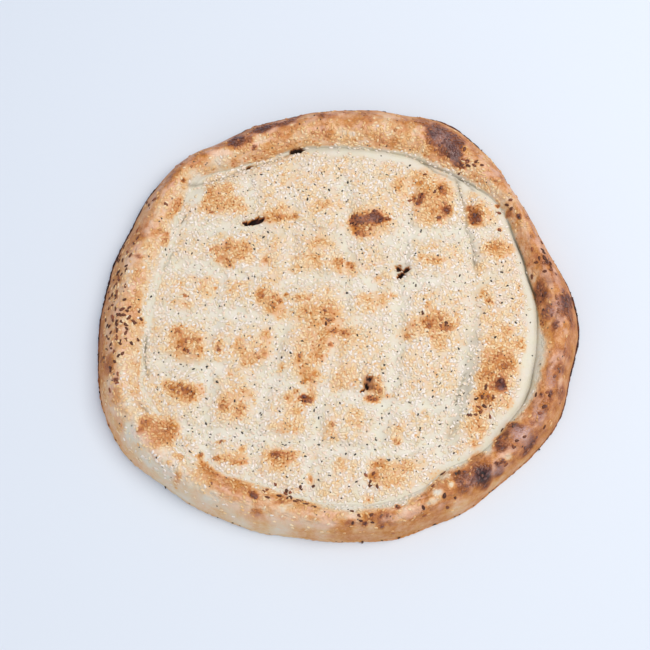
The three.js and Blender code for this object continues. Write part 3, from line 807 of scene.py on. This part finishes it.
def makeCrust(darkSeeds):
    # the top is the bent grid at the crust's height, and the skirt and the underside are rings down from
    # its edge
    cells = grid["cells"]
    x, y, ring = discGrid(cells, grid["creaseShare"])
    innerX, innerY = gatherAtTears(x, y)
    gathered = ring < grid["gatherShare"]
    x, y = np.where(gathered, innerX, x).ravel(), np.where(gathered, innerY, y).ravel()
    top = np.stack([x, y, crustHeight(x, y)], axis=-1)
    looks = crustLooks(x, y, browning(x, y, darkSeeds))

    # the edge of the top grid, once round anticlockwise, and the rings and the middle point below it
    index = np.arange((cells + 1) ** 2).reshape(cells + 1, cells + 1)
    edge = np.concatenate([index[:-1, 0], index[-1, :-1], index[:0:-1, -1], index[0, :0:-1]])
    rings, ringBake = underRings(np.arctan2(top[edge, 1], top[edge, 0]))
    points = np.concatenate([top] + rings + [np.array([[0, 0, skirt["middleHeight"]]])])

    # the top's squares, a band of them between each two rings, and a fan round the middle point
    loops = [edge] + [len(top) + k * len(edge) + np.arange(len(edge)) for k in range(len(rings))]
    squares = np.stack([index[:-1, :-1], index[1:, :-1], index[1:, 1:], index[:-1, 1:]], axis=-1)
    quads = [squares.reshape(-1, 4)]
    for upper, lower in zip(loops[:-1], loops[1:]):
        quads.append(np.stack([upper, lower, np.roll(lower, -1), np.roll(upper, -1)], axis=-1))
    last = loops[-1]
    fan = np.stack([last, np.full_like(last, len(points) - 1), np.roll(last, -1)], axis=-1)

    below = {name: np.zeros(len(points) - len(top)) for name in looks}
    below["bake"] = np.append(np.tile(ringBake, len(rings)), 0.5)
    attributes = {name: np.append(values, below[name]) for name, values in looks.items()}
    crust = addMesh("crust", points, [np.concatenate(quads), fan], attributes)
    undersideFaces = len(fan) + (len(rings) - len(skirt["rings"])) * len(edge)
    slots = np.zeros(len(crust.data.polygons), dtype=np.int32)
    slots[-undersideFaces:] = 1
    crust.data.materials.append(crustMaterial())
    crust.data.materials.append(undersideMaterial())
    crust.data.polygons.foreach_set("material_index", slots)
    return crust


def seedShape(sides=6):
    # a flat drop, one unit long each way: rings across the long axis, as wide as the root of 1 − t², and
    # blunter behind
    stations = np.array([-0.68, 0.0, 0.66])
    girth = np.sqrt(1 - stations ** 2) * (1 - 0.28 * stations)
    turn = np.arange(sides) * 2 * np.pi / sides
    rings = [
        np.stack([np.full(sides, along), wide * np.cos(turn), wide * np.sin(turn)], axis=-1)
        for along, wide in zip(stations, girth)
    ]
    points = np.concatenate([[[-1, 0, 0]]] + rings + [[[1, 0, 0]]])
    ring = [1 + k * sides + np.arange(sides) for k in range(len(rings))]
    quads = [np.stack([a, b, np.roll(b, -1), np.roll(a, -1)], axis=-1) for a, b in zip(ring[:-1], ring[1:])]
    blunt = np.stack([np.roll(ring[0], -1), ring[0], np.zeros(sides, int)], axis=-1)
    tip = np.stack([ring[-1], np.roll(ring[-1], -1), np.full(sides, len(points) - 1)], axis=-1)
    return points, np.concatenate(quads)[:, ::-1], np.concatenate([blunt, tip])


def squareTo(vectors, axes):
    # the part of each vector at right angles to its axis, one unit long
    return unit(vectors - (vectors * axes).sum(axis=-1, keepdims=True) * axes)


def addShapes(name, middle, ahead, up, scale, tint, material):
    # one mesh of seed shapes, each scaled along its own three axes, with no point lower than just above
    # the floor
    points, quads, triangles = seedShape()
    axes = np.stack([ahead, np.cross(up, ahead), up], axis=1) * scale[:, :, None]
    placed = middle[:, None, :] + np.einsum("pk,nkc->npc", points, axes)
    placed[:, :, 2] = np.clip(placed[:, :, 2], seeds["lowest"], None)
    offsets = (np.arange(len(middle)) * len(points))[:, None, None]
    faceSets = [(faces[None] + offsets).reshape(-1, faces.shape[1]) for faces in (quads, triangles)]
    piece = addMesh(name, placed.reshape(-1, 3), faceSets, {"tint": np.repeat(tint, len(points))})
    piece.data.materials.append(material)
    print(name, len(middle))
    return piece


def makeSeeds(name, x, y, tint, size, lift, tilt, seed, material):
    # each seed's long axis turned at random in the crust's plane and tilted a little, its size varied a
    # little, and its middle lifted off the crust
    random = np.random.default_rng(seed)
    count = len(x)
    up = unit(crustNormal(x, y) + random.normal(0, tilt, (count, 3)))
    heading = random.uniform(0, 2 * np.pi, count)
    ahead = squareTo(np.stack([np.cos(heading), np.sin(heading), np.zeros(count)], axis=-1), up)
    scale = random.normal(1, 0.08, (count, 1)) * np.array(size) / 2 * random.normal(1, 0.07, (count, 3))
    middle = np.stack([x, y, crustHeight(x, y)], axis=-1) + lift * up
    return addShapes(name, middle, ahead, up, scale, tint, material)


def strewn(spacing, seed):
    # rows of points, every other row shifted by half a step, each point moved at random by up to 0.45 of
    # a step; those within the foot's edge are kept
    random = np.random.default_rng(seed)
    reach = seeds["reach"]
    rows = np.arange(-reach, reach, spacing * 0.866)
    columns = np.arange(-reach, reach, spacing)
    x, y = np.meshgrid(columns, rows)
    x = x + (np.arange(len(rows)) % 2)[:, None] * spacing / 2
    x = x + random.uniform(-0.45, 0.45, x.shape) * spacing
    y = y + random.uniform(-0.45, 0.45, y.shape) * spacing
    x, y = x.ravel(), y.ravel()
    foot = rimRadii(np.arctan2(y, x))[0]
    within = np.hypot(x, y) < foot - seeds["footEdge"]
    return x[within], y[within], random


# Seeds: sizes are length, width and thickness, spacings are those of full cover, and all are in
# millimetres. Sesame on the rim lies near the crease and on the outer part, each at equal angles as a
# share of full cover. Golden and chestnut sesame lies where the crust is browned as much as stated
seeds = {
    "sesameSize": (2.8, 1.65, 0.9),
    "darkSize": (3.6, 2.0, 1.0),
    "nigellaSize": (2.3, 1.25, 1.0),
    "bitSize": (1.3, 0.9, 0.7),
    "spacing": 2.12,
    "darkSpacing": 3.4,
    "bitSpacing": 6.8,
    "reach": 176,
    "footEdge": 3,
    "lowest": 0.1,
    "innerCover": [
        0.05, 0.08, 0.25, 0.75, 0.75, 0.7, 0.65, 0.5, 0.4, 0.4, 0.65, 0.65, 0.55, 0.7, 0.8, 0.85, 0.5, 0.45,
        0.5, 0.4, 0.25, 0.12, 0.06, 0.04,
    ],
    "outerCover": [
        0, 0.02, 0.05, 0.12, 0.10, 0.12, 0.10, 0.07, 0.06, 0.07, 0.12, 0.2, 0.3, 0.38, 0.4, 0.42, 0.2, 0.12,
        0.16, 0.12, 0.1, 0.08, 0.04, 0.02,
    ],
    "bareRim": (0.75, 0.95),
    "scorched": (0.6, 0.75),
    "onScorched": 0.4,
    "lessInFurrow": 0.4,
    "lessOnScorched": 0.5,
    "lessOnPale": 0.85,
    "goldenFrom": 0.24,
    "chestnutFrom": 0.45,
    "bitCover": 0.75,
    "bitCoverRim": 0.15,
}

# Dark seeds lie in drifts, the level being the share of full cover
darkDrifts = [
    (-146, 42, 9, 14, 0.42, -20), (-151, 14, 8, 18, 0.52, -8), (-146, -14, 12, 16, 0.62),
    (-140, -4, 9, 9, 0.30), (139, 34, 8, 10, 0.55, 20), (11, -141, 10, 5, 0.45),
    (-24, -127, 22, 7, 0.36, -8), (92, 105, 10, 8, 0.20, -40), (-120, 78, 12, 10, 0.12, 50),
    (60, -139, 16, 6, 0.25, 8), (-58, -125, 13, 5, 0.30, -14), (130, -80, 8, 12, 0.10),
    (-7, -9, 10, 9, 0.10), (64, -10, 14, 8, 0.08), (60, 83, 16, 14, 0.03), (24, -114, 5, 7, 0.45),
    (118, 72, 8, 6, 0.12), (-112, -86, 10, 8, 0.10, -40), (-150, -42, 8, 12, 0.20), (66, -118, 12, 8, 0.10),
]

# and some singly: x, y
darkSingles = [
    (99.5, -53.5), (93.3, -61), (97, -60), (101, -60), (104.5, -60), (94.6, -66.6), (98.6, -66),
    (102.3, -66), (96, -70), (92.3, -72), (88, -72.5), (102, -73.5), (132.5, -59.5), (139.5, -58.5),
    (137, -68), (141, -61), (107.5, -105.5), (111.5, -106), (110, -82), (118.5, -91), (116, -95),
    (-100, -29), (77.4, -128.3), (70, -127.5), (63, -120.5), (80, -112), (117, 74), (112, 57.5), (88, 106),
    (91, 102),
]

# Nigella seeds, one at each x, y
nigellaPlaces = [
    (-58, 93), (-52, 97), (-45, 90), (-29, 81), (-23, 85), (-19, 82), (-20, 79), (-15, 90), (-10, 98),
    (-19, 100), (-33, 88), (-103, 47), (-109, 43), (-99, 40), (-56, 43), (-57, 46), (-60, 22.5), (-56, 24),
    (-126, 9.5), (-134, 6), (-79, 3), (-94, 12), (-117, 43), (-47, 56), (-50, 52), (-107, 54), (-83, 94),
    (-8, 88), (-5, 86), (51, 104.5), (8, 92), (1, 95), (4, 86), (14, 99), (2, 101), (35, 97), (7, 78),
    (51.5, 65), (58, 57), (25, 46), (24, 44), (25.5, 41.5), (17.5, 40), (18, 32), (69, 38.5), (54, 39.5),
    (112.5, 27), (105.5, 21), (54, 18), (7, 12), (116, 17), (111, 10), (112, 5), (59, 7), (119, 8),
    (84, 25), (112, 57), (-118, -23), (-105, -37), (-87, -39), (-96, -41), (-65, -27), (-45, -13),
    (-40, -27), (-31, -30), (-37, -33), (-23, -22), (-31, -54), (-87, -61), (-45, -62), (-87, -78),
    (-84, -85), (-68, -63), (-68, -87), (-63, -84), (-56, -93), (-48, -90), (-36, -92), (-34, -92.5),
    (-12, -74), (-50, -72), (-51, -71), (-106, -92), (-102, -93), (-97, -97), (-21, -100), (-12, -116),
    (-33, -114), (-5, -113), (-23, -118), (-12, -92), (-15, -69), (-20, -38), (-38, -70), (-96, -83),
    (-80, -50), (-120, -55), (-3.5, -87.5), (-2, -88), (44, -33), (31, -44), (32, -38), (77, -42.5),
    (69, -51), (56, -55.5), (64, -60), (77, -34), (82, -27), (2, -64.5), (30, -74), (34.5, -81),
    (49.5, -82), (55, -82), (68.5, -78.5), (26, -89), (25.5, -95.5), (6, -98.5), (12, -99), (57, -88),
    (68, -93), (77.5, -98), (18.5, -111), (33.5, -103), (34.5, -103), (8, -120), (13, -117), (3, -128),
    (78, -113), (60, -115), (39, -134), (107, -19), (119, -18), (100, -2), (97, -10), (35, -14), (14, -18),
    (20, -38), (121, -9), (85, -57), (73, -67), (54, -72), (35, -71),
]


def strewSeeds():
    # full cover on the pillows, thinner in the furrows, on the pale spots and on the smooth band; the
    # browner the crust, the more toasted the seed, with some chance in it
    x, y, random = strewn(seeds["spacing"], 101)
    across, inside, angle = rimPlace(x, y)
    band = bandWidth(x, y, angle)
    bake = browning(x, y)
    clumps = 0.85 + uneven(x, y, "seedClumps")
    pressed = np.clip(furrowDepth(x, y) / 2.4, 0, 1)
    onField = ease(0.6 * band - 1.5, 1.2 * band + 0.8, inside) * clumps
    onField = onField * (1 - seeds["lessInFurrow"] * pressed)
    inner, outer = aroundRim(seeds["innerCover"], angle), aroundRim(seeds["outerCover"], angle)
    onRim = inner + (outer - inner) * ease(-0.4, 0.2, across)
    onRim = onRim * (1 - ease(*seeds["bareRim"], across))
    scorched = ease(*seeds["scorched"], bake)
    onRim = np.maximum(onRim * (1 - scorched), seeds["onScorched"] * scorched)
    cover = np.where(inside > 0, onField * (1 - seeds["lessOnScorched"] * scorched), onRim)
    onPale = np.max([inSpot(x, y, spot, 4) for spot in paleSpots], axis=0)
    cover = cover * (1 - seeds["lessOnPale"] * onPale)
    kept = (random.uniform(0, 1, len(x)) < cover) & (tearDepth(x, y) < 0.4)
    x, y, bake = x[kept], y[kept], bake[kept]

    goldenFrom, chestnutFrom = seeds["goldenFrom"], seeds["chestnutFrom"]
    heat = bake + random.normal(0, 0.05, len(x))
    chestnut = heat > chestnutFrom
    golden = ~chestnut & (heat > goldenFrom)
    straw = (heat <= goldenFrom) & (random.uniform(0, 1, len(x)) < 0.5)
    pale = (heat <= goldenFrom) & ~straw
    tint = random.uniform(0, 1, len(x))
    warmth = (heat - goldenFrom) / (chestnutFrom - goldenFrom)
    gold = np.clip(warmth + random.normal(0, 0.25, len(x)), 0, 1)
    toast = np.clip((heat - chestnutFrom) / 0.4 + random.normal(0, 0.12, len(x)), 0, 1)
    kinds = [
        ("paleSesame", pale, tint, 103, paleSesameMaterial),
        ("strawSesame", straw, tint, 105, strawSesameMaterial),
        ("goldenSesame", golden, gold, 104, goldenSesameMaterial),
        ("chestnutSesame", chestnut, toast, 106, chestnutSesameMaterial),
    ]
    return [
        makeSeeds(name, x[mine], y[mine], colour[mine], seeds["sesameSize"], 0.12, 0.1, seed, material())
        for name, mine, colour, seed, material in kinds
    ]


def darkSeedPlaces():
    # full cover thinned to the drifts, and the single ones
    x, y, random = strewn(seeds["darkSpacing"], 111)
    cover = sum(drift[4] * inSpot(x, y, drift, 3) for drift in darkDrifts)
    kept = random.uniform(0, 1, len(x)) < cover
    singleX, singleY = np.array(darkSingles, float).T
    return np.append(x[kept], singleX), np.append(y[kept], singleY)


def strewDarkSeeds(x, y):
    tint = np.random.default_rng(113).uniform(0, 1, len(x))
    return makeSeeds("darkSesame", x, y, tint, seeds["darkSize"], 0.2, 0.06, 112, darkSesameMaterial())


def placeNigella():
    x, y = np.array(nigellaPlaces, float).T
    tint = np.random.default_rng(121).uniform(0, 1, len(x))
    return makeSeeds("nigella", x, y, tint, seeds["nigellaSize"], 0.1, 0.15, 123, nigellaMaterial())


def strewBits():
    # broken nigella and specks of scorched bran all over the field, thinner on the rim
    x, y, random = strewn(seeds["bitSpacing"], 124)
    cover = np.where(rimPlace(x, y)[1] > 6, seeds["bitCover"], seeds["bitCoverRim"])
    kept = random.uniform(0, 1, len(x)) < cover
    x, y = x[kept], y[kept]
    tint = random.uniform(0.3, 1.7, len(x))
    return makeSeeds("nigellaBits", x, y, tint, seeds["bitSize"], 0.1, 0.2, 125, nigellaMaterial())


# Bran sticks to the foot at these shares of full cover, at equal angles. Its flakes' length, width and
# thickness, how far in from the outline they start, their height there and how much higher they are at
# the wall are in millimetres
bran = {
    "cover": [
        0.8, 0.6, 0.7, 0.9, 0.8, 1.0, 1.1, 1.0, 0.9, 0.7, 0.9, 0.9, 0.8, 0.5, 0.2, 0.05, 0.1, 0.05, 0.1,
        0.2, 0.3, 0.4, 0.5, 0.8,
    ],
    "count": 620,
    "size": (2.6, 1.5, 0.5),
    "inset": 0.4,
    "height": 1.1,
    "climb": 1.4,
}


def makeBran():
    # thin flakes along the foot, each lying against the wall's lower edge, its outer end a little out or up
    random = np.random.default_rng(131)
    angle = random.uniform(0, 2 * np.pi, bran["count"])
    angle = angle[random.uniform(0, 1, len(angle)) < aroundRim(bran["cover"], angle)]
    count = len(angle)
    outline, foot = rimRadii(angle)[:2]
    turn = angle + np.pi / 2 + random.normal(0, 0.35, count)
    ahead = unit(np.stack([np.cos(turn), np.sin(turn), random.normal(0, 0.12, count)], axis=-1))
    up = squareTo(np.stack([np.cos(angle), np.sin(angle), np.full(count, 0.6)], axis=-1), ahead)
    scale = np.array(bran["size"]) / 2 * random.uniform(0.5, 1.3, (count, 1))
    rise = random.uniform(0, 1, count)
    radius = outline - bran["inset"] + rise * (foot - outline)
    height = bran["height"] + bran["climb"] * rise
    middle = np.stack([radius * np.cos(angle), radius * np.sin(angle), height], axis=-1)
    return addShapes("bran", middle, ahead, up, scale, random.uniform(0, 1, count), branMaterial())


def linear(hexColour):
    # sRGB hex to linear red, green, blue and full alpha
    parts = np.array([int(hexColour[k:k + 2], 16) for k in (1, 3, 5)]) / 255
    parts = np.where(parts <= 0.04045, parts / 12.92, ((parts + 0.055) / 1.055) ** 2.4)
    return (*parts, 1.0)


def newMaterial(name):
    # a material with an empty tree
    material = bpy.data.materials.new(name)
    material.use_nodes = True
    material.node_tree.nodes.clear()
    return material, material.node_tree


def addNode(tree, kind, settings=None, links=None, stops=(), output=0):
    # settings name a property or an input of the node, links give an input the output that feeds it, and
    # stops are a ramp's colours as (place, sRGB hex). What comes back is the node's output of that name
    # or number
    node = tree.nodes.new("ShaderNode" + kind)
    for name, value in (settings or {}).items():
        if isinstance(name, int) or name in node.inputs:
            node.inputs[name].default_value = value
        else:
            setattr(node, name, value)
    for name, source in (links or {}).items():
        tree.links.new(source, node.inputs[name])
    for k, (place, colour) in enumerate(stops):
        elements = node.color_ramp.elements
        element = elements[k] if k < 2 else elements.new(place)
        element.position = place
        element.color = linear(colour)
    return node.outputs[output] if node.outputs else None


def cellsOf(size):
    # the scale of a pattern whose cells are this many millimetres wide: cells in a metre, to the nearest
    # five
    return 5.0 * round(1000 / size / 5)


def crustMaterial():
    # wheat crust baked on an oven floor and washed before baking: matt and mottled in the field, and on
    # the rim a thin glaze that gives small soft highlights. Colour runs from raw dough through straw and
    # golden to char, here a little pinker and there more golden; over it a pink highlight is painted along
    # the crest, a mauve-grey sheen on blistered skin, and grey-green shade in the crease, folds and cracks
    material, tree = newMaterial("bakedWheatCrust")
    placed = {"Vector": addNode(tree, "TexCoord", output="Object")}
    bake, wash, paintedSheen, paintedShade, paintedHighlight, gapShaded = (
        addNode(tree, "Attribute", {"attribute_name": name}, output="Fac")
        for name in ("bake", "wash", "paintedSheen", "paintedShade", "paintedHighlight", "gapShaded")
    )
    # mottling of about 3 mm, and blistering of about 1 mm, both stronger where the crust is browner
    mottle = addNode(tree, "TexNoise", {"Scale": cellsOf(3.33), "Detail": 4.0, "Roughness": 0.6}, placed)
    blister = addNode(tree, "TexNoise", {"Scale": cellsOf(1.11), "Detail": 3.0, "Roughness": 0.6}, placed)
    both = addNode(tree, "Math", {"operation": "MULTIPLY_ADD", 1: 0.7}, {0: blister, 2: mottle})
    spread = addNode(tree, "Math", {"operation": "MULTIPLY_ADD", 1: 0.28, 2: 0.14}, {0: bake})
    spread = addNode(tree, "Math", {"operation": "MULTIPLY_ADD", 1: 0.08}, {0: wash, 2: spread})
    centred = addNode(tree, "Math", {"operation": "SUBTRACT", 1: 0.85}, {0: both})
    heat = addNode(tree, "Math", {"operation": "MULTIPLY_ADD"}, {0: centred, 1: spread, 2: bake})
    # painted shade in the gaps between the seeds: dark dots 1 mm wide and 3 mm apart, browner than the skin
    # around them where that is baked at all
    gapDots = addNode(tree, "TexVoronoi", {"Scale": cellsOf(2.94)}, placed)
    gapDotRange = {"From Min": 0.14, "From Max": 0.36, "To Min": 1.0, "To Max": 0.0}
    gapDot = addNode(tree, "MapRange", gapDotRange, {"Value": gapDots})
    depth = addNode(tree, "MapRange", {"From Min": 0.02, "From Max": 0.36, "To Max": 0.25}, {"Value": bake})
    depth = addNode(tree, "Math", {"operation": "MULTIPLY"}, {0: depth, 1: gapShaded})
    heat = addNode(tree, "Math", {"operation": "MULTIPLY_ADD"}, {0: gapDot, 1: depth, 2: heat})
    pinker = addNode(tree, "ValToRGB", links={"Fac": heat}, stops=[
        (0.00, "#E2DCCD"), (0.13, "#E1D6C3"), (0.27, "#E4C5A4"), (0.40, "#DEAC82"), (0.53, "#CD8A57"),
        (0.66, "#AE6A42"), (0.77, "#81492F"), (0.87, "#553230"), (1.00, "#261A1C"),
    ])
    golden = addNode(tree, "ValToRGB", links={"Fac": heat}, stops=[
        (0.00, "#E0DCC8"), (0.13, "#DED4BB"), (0.27, "#E1C39B"), (0.40, "#DCA86F"), (0.53, "#C9843F"),
        (0.66, "#A6632F"), (0.77, "#7A4424"), (0.87, "#4E2C20"), (1.00, "#231714"),
    ])
    # the two tones change over in places of about 9 mm
    tone = addNode(tree, "TexNoise", {"Scale": cellsOf(9.1), "Detail": 3.0, "Roughness": 0.6}, placed)
    share = addNode(tree, "MapRange", {"From Min": 0.38, "From Max": 0.62}, {"Value": tone})
    colour = addNode(tree, "Mix", {"data_type": "RGBA"}, {0: share, 6: pinker, 7: golden}, output=2)
    # over them a pink highlight painted in streaks along the rim's crest, a mauve-grey sheen painted on
    # blistered skin, broken up into specks, and grey-green painted shade in the crease, folds and cracks
    paintedHighlight = addNode(tree, "Math", {"operation": "MULTIPLY", 1: 0.45}, {0: paintedHighlight})
    speckRange = {"From Min": 0.38, "From Max": 0.56, "To Min": 0.15}
    speck = addNode(tree, "MapRange", speckRange, {"Value": blister})
    paintedSheen = addNode(tree, "Math", {"operation": "MULTIPLY"}, {0: paintedSheen, 1: speck})
    for share, tint in ((paintedHighlight, "#EFC6AE"), (paintedSheen, "#C09A90"), (paintedShade, "#786B55")):
        mixSettings = {"data_type": "RGBA", 7: linear(tint)}
        colour = addNode(tree, "Mix", mixSettings, {0: share, 6: colour}, output=2)
    # pores of the dough's skin, 0.5 to 3 mm, and on the washed rim wrinkles of about 4 mm
    skin = addNode(tree, "TexNoise", {"Scale": cellsOf(2.38), "Detail": 5.0, "Roughness": 0.62}, placed)
    pores = addNode(tree, "Bump", {"Strength": 0.5, "Distance": 0.0007}, {"Height": skin})
    foldSettings = {"Scale": cellsOf(4.35), "Detail": 2.0, "Roughness": 0.5, "Distortion": 0.6}
    folds = addNode(tree, "TexNoise", foldSettings, placed)
    wrinkleLinks = {"Strength": wash, "Height": folds, "Normal": pores}
    wrinkles = addNode(tree, "Bump", {"Distance": 0.0022}, wrinkleLinks)
    roughnessRange = {"From Min": 0.0, "From Max": 1.0, "To Min": 0.75, "To Max": 0.36}
    roughness = addNode(tree, "MapRange", roughnessRange, {"Value": wash})
    glaze = addNode(tree, "Math", {"operation": "MULTIPLY", 1: 0.3}, {0: wash})
    crustSettings = {"IOR": 1.45, "Specular IOR Level": 0.2, "Coat Roughness": 0.16}
    shader = addNode(tree, "BsdfPrincipled", crustSettings, {
        "Base Color": colour, "Roughness": roughness, "Coat Weight": glaze, "Normal": wrinkles,
        "Coat Normal": wrinkles,
    })
    addNode(tree, "OutputMaterial", links={"Surface": shader})
    return material


def undersideMaterial():
    # the face baked on the hot stone: dry and matt, browned in blotches of about 12 mm that gather in
    # places of about 50 mm, where the dough touched the stone, and dusted with flour
    material, tree = newMaterial("stoneBakedUnderside")
    placed = {"Vector": addNode(tree, "TexCoord", output="Object")}
    blotch = addNode(tree, "TexNoise", {"Scale": cellsOf(11.8), "Detail": 5.0, "Roughness": 0.62}, placed)
    touch = addNode(tree, "TexNoise", {"Scale": cellsOf(50), "Detail": 2.0}, placed)
    touchRange = {"From Min": 0.36, "From Max": 0.64, "To Min": -0.16, "To Max": 0.12}
    touched = addNode(tree, "MapRange", touchRange, {"Value": touch})
    heat = addNode(tree, "Math", {"operation": "ADD"}, {0: blotch, 1: touched})
    colour = addNode(tree, "ValToRGB", links={"Fac": heat}, stops=[
        (0.24, "#EBD7B2"), (0.40, "#E2B983"), (0.53, "#CB9057"), (0.65, "#94592F"), (0.80, "#47291A"),
    ])
    flour = addNode(tree, "TexNoise", {"Scale": cellsOf(1.92), "Detail": 4.0, "Roughness": 0.7}, placed)
    dusted = addNode(tree, "MapRange", {"From Min": 0.56, "From Max": 0.68, "To Max": 0.7}, {"Value": flour})
    mixSettings = {"data_type": "RGBA", 7: linear("#EFE6D4")}
    colour = addNode(tree, "Mix", mixSettings, {0: dusted, 6: colour}, output=2)
    bump = addNode(tree, "Bump", {"Strength": 0.6, "Distance": 0.0008}, {"Height": flour})
    settings = {"IOR": 1.45, "Roughness": 0.85}
    shader = addNode(tree, "BsdfPrincipled", settings, {"Base Color": colour, "Normal": bump})
    addNode(tree, "OutputMaterial", links={"Surface": shader})
    return material


def seedMaterial(name, stops, roughness):
    # a seed's smooth husk: one colour a seed, from its tint, with a faint clouding of about 1 mm
    material, tree = newMaterial(name)
    placed = {"Vector": addNode(tree, "TexCoord", output="Object")}
    tint = addNode(tree, "Attribute", {"attribute_name": "tint"}, output="Fac")
    cloud = addNode(tree, "TexNoise", {"Scale": cellsOf(1.11), "Detail": 2.0}, placed)
    clouded = addNode(tree, "Math", {"operation": "MULTIPLY_ADD", 1: 0.4}, {0: cloud, 2: tint})
    centred = addNode(tree, "Math", {"operation": "SUBTRACT", 1: 0.2}, {0: clouded})
    colour = addNode(tree, "ValToRGB", links={"Fac": centred}, stops=stops)
    shader = addNode(tree, "BsdfPrincipled", {"IOR": 1.47, "Roughness": roughness}, {"Base Color": colour})
    addNode(tree, "OutputMaterial", links={"Surface": shader})
    return material


def paleSesameMaterial():
    # hulled sesame, hardly toasted: ivory with a waxy gleam
    return seedMaterial("hulledSesame", [(0.0, "#E3D5C3"), (0.4, "#EBDFD0"), (1.0, "#F4EBE0")], 0.55)


def strawSesameMaterial():
    # sesame just beginning to toast: straw yellow to faint pink
    stops = [(0.0, "#DFCDAC"), (0.4, "#E6D8BA"), (0.7, "#E9D1BA"), (1.0, "#EEDFCE")]
    return seedMaterial("strawSesame", stops, 0.55)


def goldenSesameMaterial():
    # hulled sesame toasted to pale gold
    return seedMaterial("toastedSesame", [(0.0, "#F0D9B4"), (0.5, "#EBCA98"), (1.0, "#DFAE74")], 0.5)


def chestnutSesameMaterial():
    # hulled sesame in the hottest places: from gold over chestnut to a mauve-brown char
    stops = [(0.0, "#E6BB80"), (0.3, "#CE925A"), (0.55, "#A3643C"), (1.0, "#6B4640")]
    return seedMaterial("chestnutSesame", stops, 0.42)


def darkSesameMaterial():
    # sesame scorched on the rim: dark brown, oily
    return seedMaterial("scorchedSesame", [(0.0, "#4A2410"), (0.6, "#69381F"), (1.0, "#935231")], 0.6)


def nigellaMaterial():
    # nigella seed: dull black with a blue-grey bloom
    return seedMaterial("nigellaSeed", [(0.0, "#1D1915"), (0.6, "#3A332C"), (1.0, "#6A5F52")], 0.6)


def branMaterial():
    # scorched bran and flour from the oven floor
    return seedMaterial("scorchedBran", [(0.0, "#1C110C"), (0.6, "#3B2216"), (1.0, "#7A4A2C")], 0.8)


# Camera, floor and light, in metres: a steep view of the bread from the front, under a broad soft sky
studio = {
    "lookAt": (-0.00955, -0.0076, 0.012),
    "elevation": 75.0,
    "distance": 1.094,
    "lens": 89.0,
    "sensorWidth": 36.0,
    "floorHalf": 3.0,
    "floorColour": "#DBE2E9",
    "skyColour": "#DFE8FB",
    "skyStrength": 0.66,
    "keyColour": "#FFF9F1",
    "fillColour": "#FFF1DE",
    "keyPlace": (0.74, 0.24, 1.55),
    "keySize": 1.0,
    "keyPower": 21.3,
    "fillPlace": (-0.75, -0.95, 0.62),
    "fillSize": 1.0,
    "fillPower": 2.9,
}


def addCamera():
    data = bpy.data.cameras.new("camera")
    data.lens = studio["lens"]
    data.sensor_width = studio["sensorWidth"]
    data.clip_start = 0.01
    data.clip_end = 50.0
    camera = bpy.data.objects.new("camera", data)
    rise = np.radians(studio["elevation"])
    target = np.array(studio["lookAt"])
    camera.location = target + studio["distance"] * np.array([0, -np.cos(rise), np.sin(rise)])
    camera.rotation_euler = (np.pi / 2 - rise, 0, 0)
    bpy.context.scene.collection.objects.link(camera)
    bpy.context.scene.camera = camera


def addFloor():
    mesh = bpy.data.meshes.new("floor")
    half = studio["floorHalf"]
    corners = [(-half, -half, 0), (half, -half, 0), (half, half, 0), (-half, half, 0)]
    mesh.from_pydata(corners, [], [(0, 1, 2, 3)])
    floor = bpy.data.objects.new("floor", mesh)
    bpy.context.scene.collection.objects.link(floor)
    # painted board, matt
    material, tree = newMaterial("paintedBoard")
    settings = {"Base Color": linear(studio["floorColour"]), "Roughness": 0.8}
    shader = addNode(tree, "BsdfPrincipled", settings)
    addNode(tree, "OutputMaterial", links={"Surface": shader})
    mesh.materials.append(material)


def addLight():
    # a pale blue sky, a warm key from the upper right and a weak warm fill from the lower left, both
    # aimed at the bread's middle
    scene = bpy.context.scene
    scene.world = bpy.data.worlds.new("sky")
    scene.world.use_nodes = True
    sky = scene.world.node_tree.nodes["Background"]
    sky.inputs["Color"].default_value = linear(studio["skyColour"])
    sky.inputs["Strength"].default_value = studio["skyStrength"]
    for name in ("key", "fill"):
        data = bpy.data.lights.new(name, "AREA")
        data.energy = studio[name + "Power"]
        data.size = studio[name + "Size"]
        data.color = linear(studio[name + "Colour"])[:3]
        light = bpy.data.objects.new(name, data)
        light.location = right, back, high = studio[name + "Place"]
        steepness = np.arctan2(np.hypot(right, back), high)
        light.rotation_euler = (steepness, 0, np.arctan2(back, right) + np.pi / 2)
        scene.collection.objects.link(light)
    scene.view_settings.view_transform = "Standard"


addCamera()
addFloor()
addLight()
print("studio ready")

darkX, darkY = darkSeedPlaces()
crust = makeCrust(list(zip(darkX, darkY)))
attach(crust, "root")
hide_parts("pide")
print("crust", len(crust.data.polygons), "faces")

paleSesame, strawSesame, goldenSesame, chestnutSesame = strewSeeds()
toppings = [
    (paleSesame, "sesame"),
    (strawSesame, "sesame"),
    (goldenSesame, "sesame"),
    (chestnutSesame, "toasted_sesame"),
    (strewDarkSeeds(darkX, darkY), "toasted_sesame"),
    (placeNigella(), "nigella"),
    (strewBits(), "nigella"),
    (makeBran(), "bran"),
]
for piece, slotName in toppings:
    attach(piece, "root")
print("seeds strewn")
